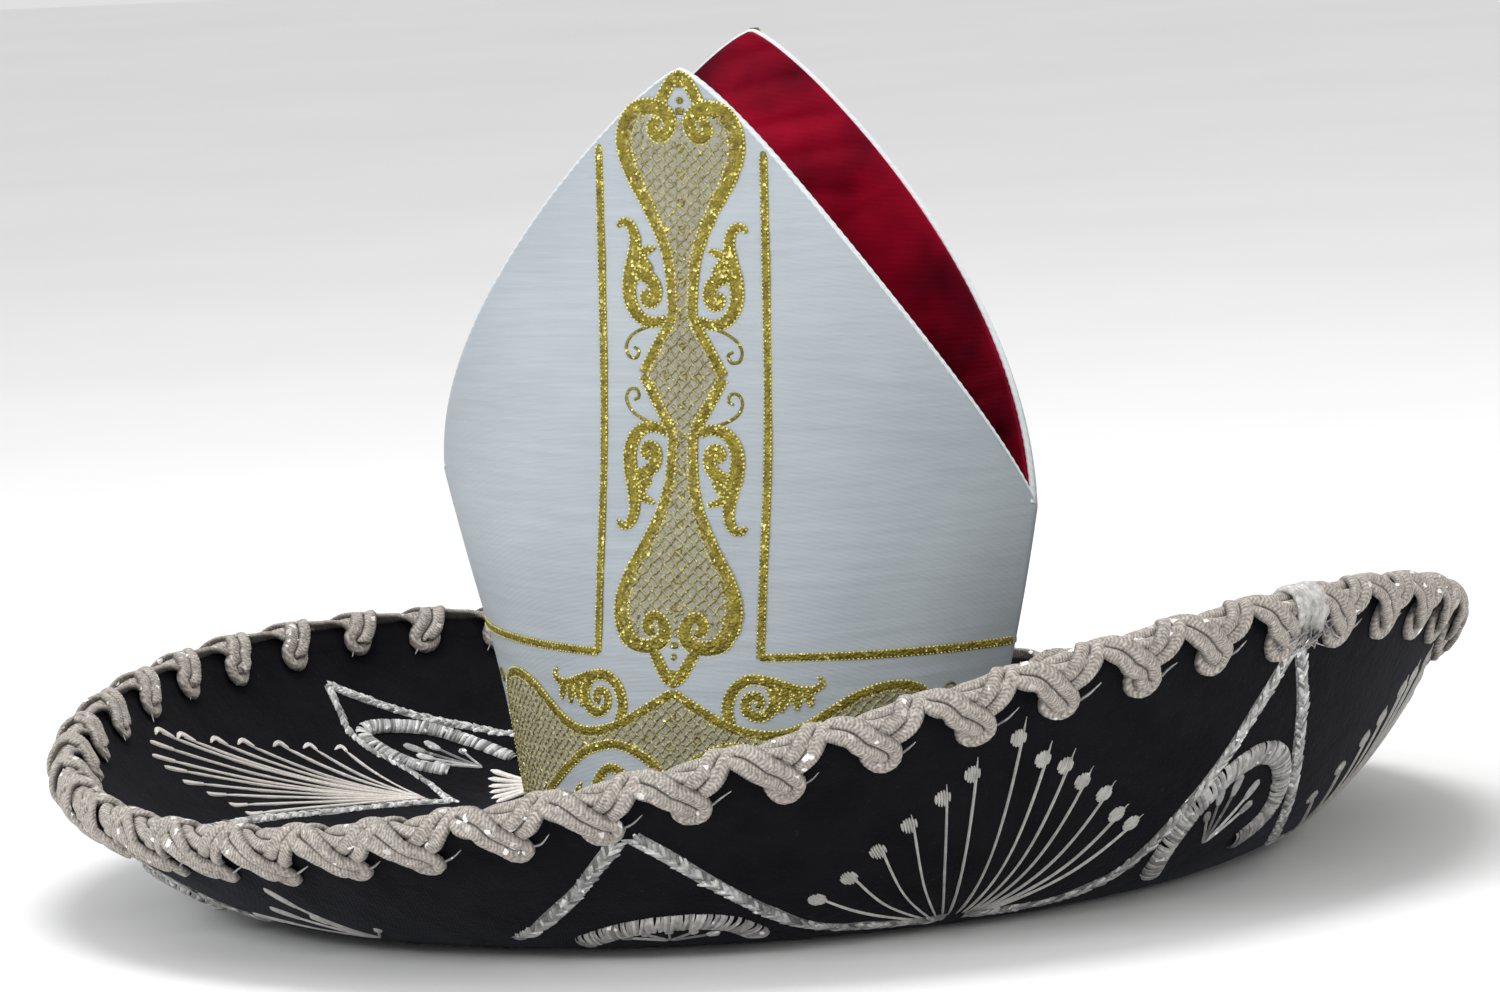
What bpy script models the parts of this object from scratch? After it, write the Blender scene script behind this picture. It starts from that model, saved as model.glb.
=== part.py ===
"""A wide charro hat brim that carries a bishop's mitre as its crown.

Units are metres and +Z is up. The hat stands on the flat ring of its brim, at z = 0, with the
mitre's front towards -Y. The origin is the middle of the brim's underside. Every layer is an
offset of one of two surfaces: the underside of the brim, and the outer face of the mitre.
"""

from math import acos, asin, atan2, cos, exp, hypot, pi, radians, sin

import bpy
from mathutils import Matrix, Vector

# Brim: an ellipse in plan, flat round the crown, then swept up to a wavy rim.
RIM_X = 0.2885
RIM_Y = 0.2870
FLAT_RADIUS = 0.1935
SWEEP_POWER = 2.2
RIM_HEIGHT = 0.0683
RIM_WAVES = ((1, 0.0159, -0.0126), (2, 0.0207, -0.0169), (3, 0.0022, 0.0005))
GORES = 48
SWEEP_STEPS = (0.0, 0.24, 0.44, 0.62, 0.78, 0.90, 1.0)
BOARD_SETBACK = 0.0045
OPENING_X = 0.0850
OPENING_Y = 0.0910

# Thickness of each brim layer, from the underside up.
UNDER_CLOTH = (0.0, 0.0010)
BOARD = (0.0013, 0.0043)
TOP_CLOTH = (0.0046, 0.0056)
WIRE_RADIUS = 0.0013
WIRE_INSET = 0.0020

# Braid over the rim, a channel in section.
BRAID_DEPTH = 0.0120
BRAID_GAP = 0.0009
BRAID_WALL = 0.0024
JOIN_WALL = 0.0015
JOIN_ANGLES = (338.0, 341.0, 344.0)

# Mitre: two panels bent round a vertical axis, sewn at the sides and open above the seam.
CROWN_X = -0.0027
CROWN_Y = 0.0018
HALF_WIDTH = 0.1495
BASE_CURVATURE = 10.95
CURVATURE_LOSS = 35.5
CURVATURE_EASE = 1.2
SEAM_TOP = 0.155
SEAM_SKEW = 0.071
LEAN = 0.0206
EASE_LENGTH = 0.035
HORN_SLOPE = {-1: 0.143, 1: -0.050}
HORN_TOP = {-1: 0.3313, 1: 0.3408}
HORN_POWERS = {-1: (1.024, 0.795), 1: (1.103, 0.783)}
CROWN_BASE = TOP_CLOTH[1] + 0.0003
PANEL_COLUMNS = 10
PANEL_ROWS = 4
HORN_PARTS = (0.0, 0.05, 0.11, 0.19, 0.30, 0.45, 0.62, 0.78, 0.91, 0.994)
SEAM_GAP = 0.0002

# Layers of the mitre, measured inwards from its outer face.
COVER = (0.0, 0.0009)
STIFFENER = (0.00135, 0.0030)
LINING = (0.00345, 0.0043)
EMBROIDERY = (-0.0017, -0.00055)
SWEATBAND = (0.0062, 0.0076)
SWEATBAND_TOP = 0.038
PIPING_RADIUS = 0.0013
PIPING_TIP = 1.6

# Gussets that close the mitre between its horns.
GUSSET_INNER = 0.0006
GUSSET_OUTER = 0.120
GUSSET_RISE = 0.055
GUSSET_SAG = 0.012
GUSSET_THICKNESS = 0.0008
GUSSET_CLEARANCE = 0.0058

# Gold work on each panel.
ORPHREY_MIDDLE = 0.2075
ORPHREY_HALF_LENGTH = 0.122
DIAMOND_PART = 0.22
HEART_FULLNESS = 1.5
HEART_HALF_WIDTH = 0.029
NECK_HALF_WIDTH = 0.006
DIAMOND_HALF_WIDTH = 0.020
GALLOON_POSITION = 0.0365
GALLOON_WIDTH = 0.0038
GALLOON_FOOT = 0.096
GALLOON_BEND = 0.006
GALLOON_TOP_MARGIN = 0.001
GALLOON_SEAM_MARGIN = 0.0015
CIRCLET_HEIGHT = 0.0735
CIRCLET_WAVE = 0.0095
CIRCLET_FOOT = 0.002
CIRCLET_SEAM_MARGIN = 0.0004

# Silver work on the brim: a zigzag trim, an arch in each point and a fan in each valley.
MOTIFS = 6
MOTIF_ANGLE = 360.0 / MOTIFS
TRIM_LIFT = (0.0016, 0.0027)
TRIM_HALF_WIDTH = 0.0052
CORD_HALF_WIDTH = 0.0045
OUTER_CORNER = 1.4
POINT_FROM_RIM = 0.0215
VALLEY_HEIGHT = 0.0062
UNDER_POINT = 282.0
UNDER_TRIM_CURVE = 1.5
UNDER_ARCH = (6.0, 0.06, 0.44)
UNDER_FAN_FOOT = 0.12
UNDER_FAN_HALF = 12.6
UNDER_FAN_HEADS = (0.92, 0.03)
TOP_POINT = 156.5
TOP_VALLEY = 152.0
TOP_VALLEY_SWEEP = 0.33
TOP_ARCH_MIDDLE = -6.5
TOP_ARCH = (4.5, 0.46, 0.16)
TOP_FAN_FOOT = (5.5, 0.47)
TOP_FAN_TIPS = ((7.5, 0.70), (15.0, 0.78), (24.0, 0.84), (30.0, 0.78), (30.0, 0.69))
FAN_START = 0.14

# Lappets at the back of the mitre.
LAPPET_X = 0.045
LAPPET_Y = 0.1045
LAPPET_LENGTH = 0.135
LAPPET_WIDTHS = (0.046, 0.058)
LAPPET_SPLAY = 0.12
LAPPET_LIFT = 0.0046
LAPPET_LINING = (0.0, 0.0006)
LAPPET_CLOTH = (0.0010, 0.0022)
HINGE_HEIGHT = TOP_CLOTH[1] + LAPPET_LIFT + LAPPET_CLOTH[1] / 2
FRINGE_LENGTH = 0.026
GAP = 0.0003

# Steps used to measure slopes.
SWEEP_NUDGE = 0.002
ANGLE_NUDGE = 0.1
HEIGHT_NUDGE = 0.001

COLOURS = {
    "black_velveteen": ((0.008, 0.008, 0.012), 0.9, 0.0),
    "brim_board": ((0.45, 0.36, 0.25), 0.9, 0.0),
    "steel_wire": ((0.45, 0.45, 0.46), 0.4, 1.0),
    "silver_braid": ((0.42, 0.38, 0.34), 0.5, 0.3),
    "cotton_band": ((0.62, 0.56, 0.46), 0.9, 0.0),
    "buckram": ((0.75, 0.72, 0.64), 0.9, 0.0),
    "white_satin": ((0.62, 0.67, 0.72), 0.5, 0.0),
    "crimson_satin": ((0.33, 0.01, 0.04), 0.45, 0.0),
    "gold_thread": ((0.50, 0.33, 0.06), 0.4, 0.6),
    "cream_thread": ((0.62, 0.58, 0.50), 0.6, 0.0),
}


def clear_scene():
    for obj in list(bpy.data.objects):
        bpy.data.objects.remove(obj, do_unlink=True)


def make_material(name):
    colour, roughness, metallic = COLOURS[name]
    material = bpy.data.materials.new(name)
    material.use_nodes = True
    shader = material.node_tree.nodes["Principled BSDF"]
    shader.inputs["Base Color"].default_value = (*colour, 1.0)
    shader.inputs["Roughness"].default_value = roughness
    shader.inputs["Metallic"].default_value = metallic
    return material


def add_object(name, points, faces, material):
    """A mesh object of the given points and faces, its faces turned outwards."""
    mesh = bpy.data.meshes.new(name)
    mesh.from_pydata([tuple(p) for p in points], [], faces)
    mesh.validate()
    signed = sum(
        points[f[0]].dot(points[f[i]].cross(points[f[i + 1]]))
        for f in faces
        for i in range(1, len(f) - 1)
    )
    if signed < 0:
        mesh.flip_normals()
    mesh.shade_smooth()
    mesh.set_sharp_from_angle(angle=radians(40))
    obj = bpy.data.objects.new(name, mesh)
    bpy.context.scene.collection.objects.link(obj)
    mesh.materials.append(material)
    return obj


def shell(name, rows, material, ring=False):
    """A sheet with thickness. Each row is (outer points, inner points); a ring joins the last
    row to the first, and an open sheet gets end faces."""
    width = len(rows[0][0])
    points = []
    for outer, inner in rows:
        points += [Vector(p) for p in outer]
        points += [Vector(p) for p in inner]
    step = 2 * width
    faces = []
    for row in range(len(rows) if ring else len(rows) - 1):
        a = row * step
        b = (row + 1) % len(rows) * step
        for i in range(width - 1):
            faces.append((a + i, a + i + 1, b + i + 1, b + i))
            faces.append((a + width + i, b + width + i, b + width + i + 1, a + width + i + 1))
        faces.append((a, b, b + width, a + width))
        faces.append((a + width - 1, a + step - 1, b + step - 1, b + width - 1))
    if not ring:
        last = (len(rows) - 1) * step
        for i in range(width - 1):
            faces.append((i, i + width, i + width + 1, i + 1))
            faces.append((last + i, last + i + 1, last + i + width + 1, last + i + width))
    return add_object(name, points, faces, material)


def tube(name, sections, material, ring=False):
    """A solid swept through sections, each a closed outline with the same number of points."""
    sides = len(sections[0])
    points = [Vector(p) for section in sections for p in section]
    faces = []
    for row in range(len(sections) if ring else len(sections) - 1):
        a = row * sides
        b = (row + 1) % len(sections) * sides
        for i in range(sides):
            j = (i + 1) % sides
            faces.append((a + i, a + j, b + j, b + i))
    if not ring:
        last = (len(sections) - 1) * sides
        faces.append(tuple(reversed(range(sides))))
        faces.append(tuple(last + i for i in range(sides)))
    return add_object(name, points, faces, material)


# The brim's surface. Angles are in degrees from +X towards +Y, so 270 is the front.


def rim_radius(angle):
    t = radians(angle)
    return RIM_X * RIM_Y / hypot(RIM_Y * cos(t), RIM_X * sin(t))


def rim_height(angle):
    t = radians(angle)
    return RIM_HEIGHT + sum(c * cos(n * t) + s * sin(n * t) for n, c, s in RIM_WAVES)


def brim_base(angle, sweep):
    """Sweep runs from 0, where the brim leaves the flat, to 1 at the rim; below 0 it is flat."""
    t = radians(angle)
    radius = FLAT_RADIUS + (rim_radius(angle) - FLAT_RADIUS) * sweep
    height = rim_height(angle) * max(sweep, 0.0) ** SWEEP_POWER
    return Vector((radius * cos(t), radius * sin(t), height))


def brim_frame(angle, sweep):
    """(point, outward direction up the brim, normal on the top side)."""
    point = brim_base(angle, sweep)
    ahead = brim_base(angle, sweep + SWEEP_NUDGE) - brim_base(angle, sweep - SWEEP_NUDGE)
    aside = brim_base(angle + ANGLE_NUDGE, sweep) - brim_base(angle - ANGLE_NUDGE, sweep)
    return point, ahead.normalized(), ahead.cross(aside).normalized()


def rim_run(angle):
    """Length of brim per unit of sweep, next to the rim."""
    return (brim_base(angle, 1.0) - brim_base(angle, 0.9)).length / 0.1


def brim_point(angle, sweep, offset):
    point, _, normal = brim_frame(angle, sweep)
    return point + normal * offset


def brim_at(x, y, offset):
    """The point of the brim above the plan position (x, y)."""
    angle = atan2(y, x) * 180 / pi
    sweep = (hypot(x, y) - FLAT_RADIUS) / (rim_radius(angle) - FLAT_RADIUS)
    return brim_point(angle, sweep, offset)


def opening_point(angle, offset):
    t = radians(angle)
    return Vector((CROWN_X + OPENING_X * cos(t), CROWN_Y + OPENING_Y * sin(t), offset))


def gore_angles():
    return [360.0 * i / GORES for i in range(GORES)]


def brim_layer(name, span, setback, material):
    rows = []
    for angle in gore_angles():
        edge = 1.0 - setback / rim_run(angle)
        steps = SWEEP_STEPS[:-1] + (edge,)
        low = [opening_point(angle, span[0])] + [brim_point(angle, s, span[0]) for s in steps]
        high = [opening_point(angle, span[1])] + [brim_point(angle, s, span[1]) for s in steps]
        rows.append((high, low))
    return shell(name, rows, material, ring=True)


def rim_section(angle, outline):
    """Points of an outline given as (distance past the rim, height above the underside)."""
    point, ahead, normal = brim_frame(angle, 1.0)
    return [point + ahead * out + normal * up for out, up in outline]


def rim_wire(material):
    middle = (UNDER_CLOTH[1] + TOP_CLOTH[0]) / 2
    r = WIRE_RADIUS
    outline = [(-WIRE_INSET + out * r, middle + up * r) for out, up in ((0, -1), (1, 0), (0, 1), (-1, 0))]
    sections = [rim_section(angle, outline) for angle in gore_angles()]
    return tube("rim_wire", sections, material, ring=True)


def channel(inner, wall):
    """Section of a channel that wraps the rim with the given inner clearance."""
    low = UNDER_CLOTH[0] - inner
    high = TOP_CLOTH[1] + inner
    deep = -BRAID_DEPTH
    return (
        (deep, low),
        (inner, low),
        (inner, high),
        (deep, high),
        (deep, high + wall),
        (inner + wall, high + wall),
        (inner + wall, low - wall),
        (deep, low - wall),
    )


def rim_braid(silver):
    sections = [rim_section(angle, channel(BRAID_GAP, BRAID_WALL)) for angle in gore_angles()]
    tube("rim_braid", sections, silver, ring=True)
    # The lap joint where the braid's two ends are bound together.
    lap = channel(BRAID_GAP + BRAID_WALL + 3 * GAP, JOIN_WALL)
    sections = [rim_section(angle, lap) for angle in JOIN_ANGLES]
    tube("braid_join", sections, silver)


# The mitre's surface. u runs across a panel from its middle, z is the height before the skew,
# and side is -1 for the front panel and +1 for the rear one.


def curvature(z):
    straight = BASE_CURVATURE - CURVATURE_LOSS * z
    return (straight + hypot(straight, CURVATURE_EASE)) / 2


def panel_depth(z, side):
    """Distance from the plane of the side seams to the middle of a panel."""
    low = min(z, SEAM_TOP)
    k = curvature(low)
    depth = (1 - cos(HALF_WIDTH * k)) / k
    above = max(z - SEAM_TOP, 0.0)
    k_before = curvature(SEAM_TOP - HEIGHT_NUDGE)
    k_top = curvature(SEAM_TOP)
    fall = (1 - cos(HALF_WIDTH * k_before)) / k_before - (1 - cos(HALF_WIDTH * k_top)) / k_top
    start = fall / HEIGHT_NUDGE
    slope = HORN_SLOPE[side]
    eased = (start - slope) * EASE_LENGTH * (1 - exp(-above / EASE_LENGTH))
    return depth - slope * above - eased


def crown_point(u, z, side, inwards):
    k = curvature(z)
    radius = 1 / k - inwards
    x = radius * sin(u * k)
    y = panel_depth(z, side) - 1 / k + radius * cos(u * k)
    height = z - SEAM_SKEW * x * min(z / SEAM_TOP, 1.0)
    return Vector((CROWN_X + x, CROWN_Y - LEAN * z + side * y, height))


def horn_half_width(z, side):
    if z <= SEAM_TOP:
        return HALF_WIDTH
    across, fullness = HORN_POWERS[side]
    part = (z - SEAM_TOP) / (HORN_TOP[side] - SEAM_TOP)
    return HALF_WIDTH * (1 - part**across) ** fullness


def edge_of(z, side, inwards):
    """Where a layer stops: at the horn's outline, or just short of the seam plane."""
    k = curvature(z)
    reach = (1 / k - panel_depth(z, side) + SEAM_GAP) / (1 / k - inwards)
    at_seam = acos(max(-1.0, min(1.0, reach))) / k
    return min(horn_half_width(z, side), at_seam)


def panel_heights(side):
    lower = [CROWN_BASE + (SEAM_TOP - CROWN_BASE) * i / PANEL_ROWS for i in range(PANEL_ROWS)]
    rise = HORN_TOP[side] - SEAM_TOP
    return lower + [SEAM_TOP + rise * part for part in HORN_PARTS]


def panel_layer(name, side, span, material):
    rows = []
    for z in panel_heights(side):
        full = edge_of(z, side, 0.0)
        lines = []
        for inwards in span:
            edge = edge_of(z, side, inwards)
            line = []
            for i in range(PANEL_COLUMNS + 1):
                across = -1 + 2 * i / PANEL_COLUMNS
                u = max(-edge, min(edge, across * full))
                line.append(crown_point(u, z, side, inwards))
            lines.append(line)
        rows.append(tuple(lines))
    return shell(name, rows, material)


def panel_strip(name, side, lines, material):
    """A thin strip of embroidery on a panel, laid through lines of (u, z) points."""
    rows = []
    for line in lines:
        rows.append(tuple([crown_point(u, z, side, inwards) for u, z in line] for inwards in EMBROIDERY))
    return shell(name, rows, material)


def orphrey_half_width(along):
    """Half width of the vertical ornament; along runs from -1 to 1 over its length."""
    part = abs(along)
    if part < DIAMOND_PART:
        return NECK_HALF_WIDTH + (DIAMOND_HALF_WIDTH - NECK_HALF_WIDTH) * (1 - part / DIAMOND_PART)
    swell = max(0.0, sin(pi * (part - DIAMOND_PART) / (1 - DIAMOND_PART))) ** HEART_FULLNESS
    return NECK_HALF_WIDTH + (HEART_HALF_WIDTH - NECK_HALF_WIDTH) * swell


def orphrey(name, side, material):
    """The vertical ornament: a diamond between two hearts."""
    steps = 16
    lines = []
    for i in range(steps + 1):
        along = -1 + 2 * i / steps
        half = orphrey_half_width(along)
        z = ORPHREY_MIDDLE + along * ORPHREY_HALF_LENGTH
        lines.append([(half * across, z) for across in (-1, -0.5, 0, 0.5, 1)])
    return panel_strip(name, side, lines, material)


def galloon(name, side, hand, material):
    """A gold line down from the horn's edge that turns out to the side seam above the circlet."""
    half = GALLOON_WIDTH / 2
    middle = GALLOON_POSITION
    top = SEAM_TOP
    while horn_half_width(top + HEIGHT_NUDGE, side) > middle + half + GALLOON_TOP_MARGIN:
        top += HEIGHT_NUDGE
    lines = []
    for i in range(7):
        z = top + (GALLOON_FOOT + GALLOON_BEND + half + half - top) * i / 6
        lines.append([(middle - half, z), (middle + half, z)])
    lines.append([(middle - half, GALLOON_FOOT - half), (middle + half, GALLOON_FOOT + half)])
    start = middle + GALLOON_BEND
    reach = edge_of(GALLOON_FOOT, side, EMBROIDERY[1]) - GALLOON_SEAM_MARGIN
    for i in range(1, 7):
        u = start + (reach - start) * i / 6
        lines.append([(u, GALLOON_FOOT - half), (u, GALLOON_FOOT + half)])
    lines = [[(hand * u, z) for u, z in line] for line in lines]
    return panel_strip(name, side, lines, material)


def circlet(name, side, material):
    """The band round the foot of the mitre, its upper edge a wave with a peak in the middle."""
    steps = 20
    low = CROWN_BASE + CIRCLET_FOOT
    lines = []
    for i in range(steps + 1):
        across = -1 + 2 * i / steps
        high = CIRCLET_HEIGHT + CIRCLET_WAVE * cos(across * 4 * pi)
        line = []
        for z in (low, (low + high) / 2, high):
            edge = min(edge_of(z, side, inwards) for inwards in EMBROIDERY) - CIRCLET_SEAM_MARGIN
            line.append((across * edge, z))
        lines.append(line)
    return panel_strip(name, side, lines, material)


def edge_piping(name, side, material):
    """A fine rolled edge round a horn, from one seam over the tip to the other."""
    away = PIPING_RADIUS + 2 * GAP
    middle = LINING[1] / 2
    heights = panel_heights(side)[PANEL_ROWS:]
    outline = [(horn_half_width(z, side), z) for z in heights]
    track = []
    for i in range(1, len(outline)):
        before = outline[i - 1]
        after = outline[min(i + 1, len(outline) - 1)]
        run = hypot(after[0] - before[0], after[1] - before[1])
        u = outline[i][0] + away * (after[1] - before[1]) / run
        z = outline[i][1] + away * (before[0] - after[0]) / run
        track.append((u, z))
    tip = (0.0, heights[-1] + PIPING_TIP * away)
    flat = track + [tip] + [(-u, z) for u, z in reversed(track)]
    centres = [crown_point(u, z, side, middle) for u, z in flat]
    outward = Vector((0.0, float(side), 0.0))
    sections = []
    for i, centre in enumerate(centres):
        ahead = (centres[min(i + 1, len(centres) - 1)] - centres[max(i - 1, 0)]).normalized()
        across = ahead.cross(outward).normalized()
        over = across.cross(ahead).normalized()
        spokes = [d * PIPING_RADIUS for d in (across, over, -across, -over)]
        sections.append([centre + spoke for spoke in spokes])
    return tube(name, sections, material)


def sweatband(material):
    """A ring inside the foot of the mitre, with its corners where the panels have theirs."""
    rows = []
    for side in (-1, 1):
        for i in range(PANEL_COLUMNS):
            across = side * (1 - 2 * i / PANEL_COLUMNS)
            lines = []
            for inwards in SWEATBAND:
                line = []
                for z in (CROWN_BASE, (CROWN_BASE + SWEATBAND_TOP) / 2, SWEATBAND_TOP):
                    k = curvature(z)
                    reach = acos((1 / k - panel_depth(z, side)) / (1 / k - inwards)) / k
                    u = max(-reach, min(reach, across * edge_of(z, side, 0.0)))
                    if i == 0:
                        u = across * reach
                    line.append(crown_point(u, z, side, inwards))
                lines.append(line)
            rows.append(tuple(lines))
    return shell("sweatband", rows, material, ring=True)


def gusset(name, hand, material):
    """A web between the two horns, rising from the top of a side seam to the middle."""
    rows = []
    for i in range(7):
        x = hand * (GUSSET_INNER + (GUSSET_OUTER - GUSSET_INNER) * i / 6)
        part = abs(x) / GUSSET_OUTER
        level = SEAM_TOP + GUSSET_RISE * (1 - part)
        tops = []
        for v in (-1.0, -0.5, 0.0, 0.5, 1.0):
            z = level - GUSSET_SAG * (1 - part) * (1 - v * v)
            k = curvature(z)
            radius = 1 / k - GUSSET_CLEARANCE
            bend = radius * (1 - cos(asin(x / radius)))
            front = panel_depth(z, -1) - GUSSET_CLEARANCE - bend
            rear = panel_depth(z, 1) - GUSSET_CLEARANCE - bend
            y = -front + (front + rear) * (v + 1) / 2
            tops.append(Vector((CROWN_X + x, CROWN_Y - LEAN * z + y, z - SEAM_SKEW * x)))
        lows = [p - Vector((0.0, 0.0, GUSSET_THICKNESS)) for p in tops]
        rows.append((tops, lows))
    return shell(name, rows, material)


# Silver work on the brim. A strip is laid through (angle, sweep) points on one face: 1 is the
# top of the brim and -1 its underside.


def face_level(face, lift):
    return (TOP_CLOTH[1] if face > 0 else 0.0) + face * lift


def brim_strip(name, face, path, half_width, material, ring=False):
    """A flat band with mitred corners."""
    count = len(path)
    rows = []
    for i, place in enumerate(path):
        before = path[(i - 1) % count] if ring or i > 0 else None
        after = path[(i + 1) % count] if ring or i < count - 1 else None
        here, _, normal = brim_frame(*place)
        arrive = (here - brim_base(*before)).normalized() if before else None
        leave = (brim_base(*after) - here).normalized() if after else None
        sides = [normal.cross(d).normalized() for d in (arrive, leave) if d]
        aside = (sides[0] + sides[-1]).normalized()
        reach = half_width / aside.dot(sides[0])
        turn = sides[0].cross(sides[-1]).dot(normal)
        left = reach if turn > 0 else min(reach, OUTER_CORNER * half_width)
        right = reach if turn < 0 else min(reach, OUTER_CORNER * half_width)
        lines = []
        for lift in TRIM_LIFT:
            middle = here + normal * face_level(face, lift)
            lines.append([middle - aside * right, middle + aside * left])
        rows.append(tuple(lines))
    return shell(name, rows, material, ring=ring)


def between(start, end, part):
    return tuple(a + (b - a) * part for a, b in zip(start, end))


def fan_sheet(name, face, foot, tips, material):
    """A fan of rays in outline, from its foot to the line of the rays' heads."""
    steps = 4
    rows = []
    for i in range(steps + 1):
        part = FAN_START + (1 - FAN_START) * i / steps
        places = [between(foot, tip, part) for tip in tips]
        rows.append(
            tuple([brim_point(*place, face_level(face, lift)) for place in places] for lift in TRIM_LIFT)
        )
    return shell(name, rows, material)


def point_sweep(angle):
    """Sweep of a zigzag's points, a fixed distance in from the rim."""
    return 1 - POINT_FROM_RIM / rim_run(angle)


def under_place(angle, part):
    """A place on the underside: part 0 is the line of the valleys, just clear of the floor,
    and 1 the line of the points."""
    low = (VALLEY_HEIGHT / rim_height(angle)) ** (1 / SWEEP_POWER)
    return angle, low + (point_sweep(angle) - low) * part


def under_zigzag(material):
    half = MOTIF_ANGLE / 2
    steps = 5
    path = []
    for motif in range(MOTIFS):
        point = UNDER_POINT + motif * MOTIF_ANGLE
        for i in range(2 * steps):
            apart = -half + half * i / steps
            path.append(under_place(point + apart, (1 - abs(apart) / half) ** UNDER_TRIM_CURVE))
    return brim_strip("under_zigzag_trim", -1, path, TRIM_HALF_WIDTH, material, ring=True)


def under_arch(number, material):
    point = UNDER_POINT + number * MOTIF_ANGLE
    reach, low, rise = UNDER_ARCH
    path = []
    for i in range(9):
        turn = pi * i / 8
        path.append(under_place(point - reach * cos(turn), low + rise * sin(turn)))
    return brim_strip(f"under_arch_{number + 1}", -1, path, CORD_HALF_WIDTH, material)


def under_fan(number, material):
    valley = UNDER_POINT + (number + 0.5) * MOTIF_ANGLE
    high, fall = UNDER_FAN_HEADS
    tips = []
    for i in range(5):
        apart = UNDER_FAN_HALF * (i - 2) / 2
        tips.append(under_place(valley + apart, high - fall * abs(apart)))
    foot = under_place(valley, UNDER_FAN_FOOT)
    return fan_sheet(f"under_fan_{number + 1}", -1, foot, tips, material)


def top_zigzag(material):
    """A saw-toothed line: for each motif a long shallow leg up and a short steep one down."""
    long_steps = 7
    short_steps = 3
    path = []
    for motif in range(MOTIFS):
        valley = (TOP_VALLEY + motif * MOTIF_ANGLE, TOP_VALLEY_SWEEP)
        point_angle = TOP_POINT + (motif + 1) * MOTIF_ANGLE
        point = (point_angle, point_sweep(point_angle))
        next_valley = (valley[0] + MOTIF_ANGLE, TOP_VALLEY_SWEEP)
        path += [between(valley, point, i / long_steps) for i in range(long_steps)]
        path += [between(point, next_valley, i / short_steps) for i in range(short_steps)]
    return brim_strip("top_zigzag_trim", 1, path, TRIM_HALF_WIDTH, material, ring=True)


def top_arch(number, material):
    middle = TOP_VALLEY + TOP_ARCH_MIDDLE + number * MOTIF_ANGLE
    reach, low, rise = TOP_ARCH
    path = []
    for i in range(9):
        turn = pi * i / 8
        path.append((middle + reach * cos(turn), low + rise * sin(turn)))
    return brim_strip(f"top_arch_{number + 1}", 1, path, CORD_HALF_WIDTH, material)


def top_fan(number, material):
    start = TOP_VALLEY + number * MOTIF_ANGLE
    foot = (start + TOP_FAN_FOOT[0], TOP_FAN_FOOT[1])
    tips = [(start + apart, sweep) for apart, sweep in TOP_FAN_TIPS]
    return fan_sheet(f"top_fan_{number + 1}", 1, foot, tips, material)


# The lappets lie on the brim behind the mitre and lift about the seam that holds them.


def lappet_layer(name, hand, start, end, span, material):
    steps = 7
    rows = []
    for i in range(steps + 1):
        along = start + (end - start) * i / steps
        middle = hand * (LAPPET_X + LAPPET_SPLAY * along)
        half = (LAPPET_WIDTHS[0] + (LAPPET_WIDTHS[1] - LAPPET_WIDTHS[0]) * along / LAPPET_LENGTH) / 2
        lines = []
        for height in span:
            lift = face_level(1, LAPPET_LIFT + height)
            lines.append([brim_at(middle + half * s, LAPPET_Y + along, lift) for s in (-1, 0, 1)])
        rows.append(tuple(lines))
    obj = shell(name, rows, material)
    hinge = Vector((hand * LAPPET_X, LAPPET_Y, HINGE_HEIGHT))
    obj.data.transform(Matrix.Translation(-hinge))
    obj.location = hinge


def lappet(label, hand, paint):
    fringe = (LAPPET_LENGTH + GAP, LAPPET_LENGTH + GAP + FRINGE_LENGTH)
    lappet_layer(f"lappet_{label}_lining", hand, 0.0, LAPPET_LENGTH, LAPPET_LINING, paint["crimson_satin"])
    lappet_layer(f"lappet_{label}_cloth", hand, 0.0, LAPPET_LENGTH, LAPPET_CLOTH, paint["white_satin"])
    whole = (LAPPET_LINING[0], LAPPET_CLOTH[1])
    lappet_layer(f"lappet_{label}_fringe", hand, *fringe, whole, paint["gold_thread"])


def build_brim(paint):
    brim_layer("brim_under_cloth", UNDER_CLOTH, 0.0, paint["black_velveteen"])
    brim_layer("brim_board", BOARD, BOARD_SETBACK, paint["brim_board"])
    brim_layer("brim_top_cloth", TOP_CLOTH, 0.0, paint["black_velveteen"])
    rim_wire(paint["steel_wire"])
    rim_braid(paint["silver_braid"])
    under_zigzag(paint["silver_braid"])
    top_zigzag(paint["silver_braid"])
    for number in range(MOTIFS):
        under_arch(number, paint["silver_braid"])
        under_fan(number, paint["cream_thread"])
        top_arch(number, paint["silver_braid"])
        top_fan(number, paint["cream_thread"])


def build_mitre(paint):
    for label, side in (("front", -1), ("rear", 1)):
        panel_layer(f"{label}_cover", side, COVER, paint["white_satin"])
        panel_layer(f"{label}_stiffener", side, STIFFENER, paint["buckram"])
        panel_layer(f"{label}_lining", side, LINING, paint["crimson_satin"])
        edge_piping(f"{label}_edge_piping", side, paint["white_satin"])
        orphrey(f"{label}_orphrey", side, paint["gold_thread"])
        circlet(f"{label}_circlet", side, paint["gold_thread"])
        galloon(f"{label}_galloon_left", side, -1, paint["gold_thread"])
        galloon(f"{label}_galloon_right", side, 1, paint["gold_thread"])
    gusset("gusset_left", -1, paint["crimson_satin"])
    gusset("gusset_right", 1, paint["crimson_satin"])
    sweatband(paint["cotton_band"])


def main():
    clear_scene()
    paint = {name: make_material(name) for name in COLOURS}
    build_brim(paint)
    build_mitre(paint)
    lappet("left", -1, paint)
    lappet("right", 1, paint)


main()
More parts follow.
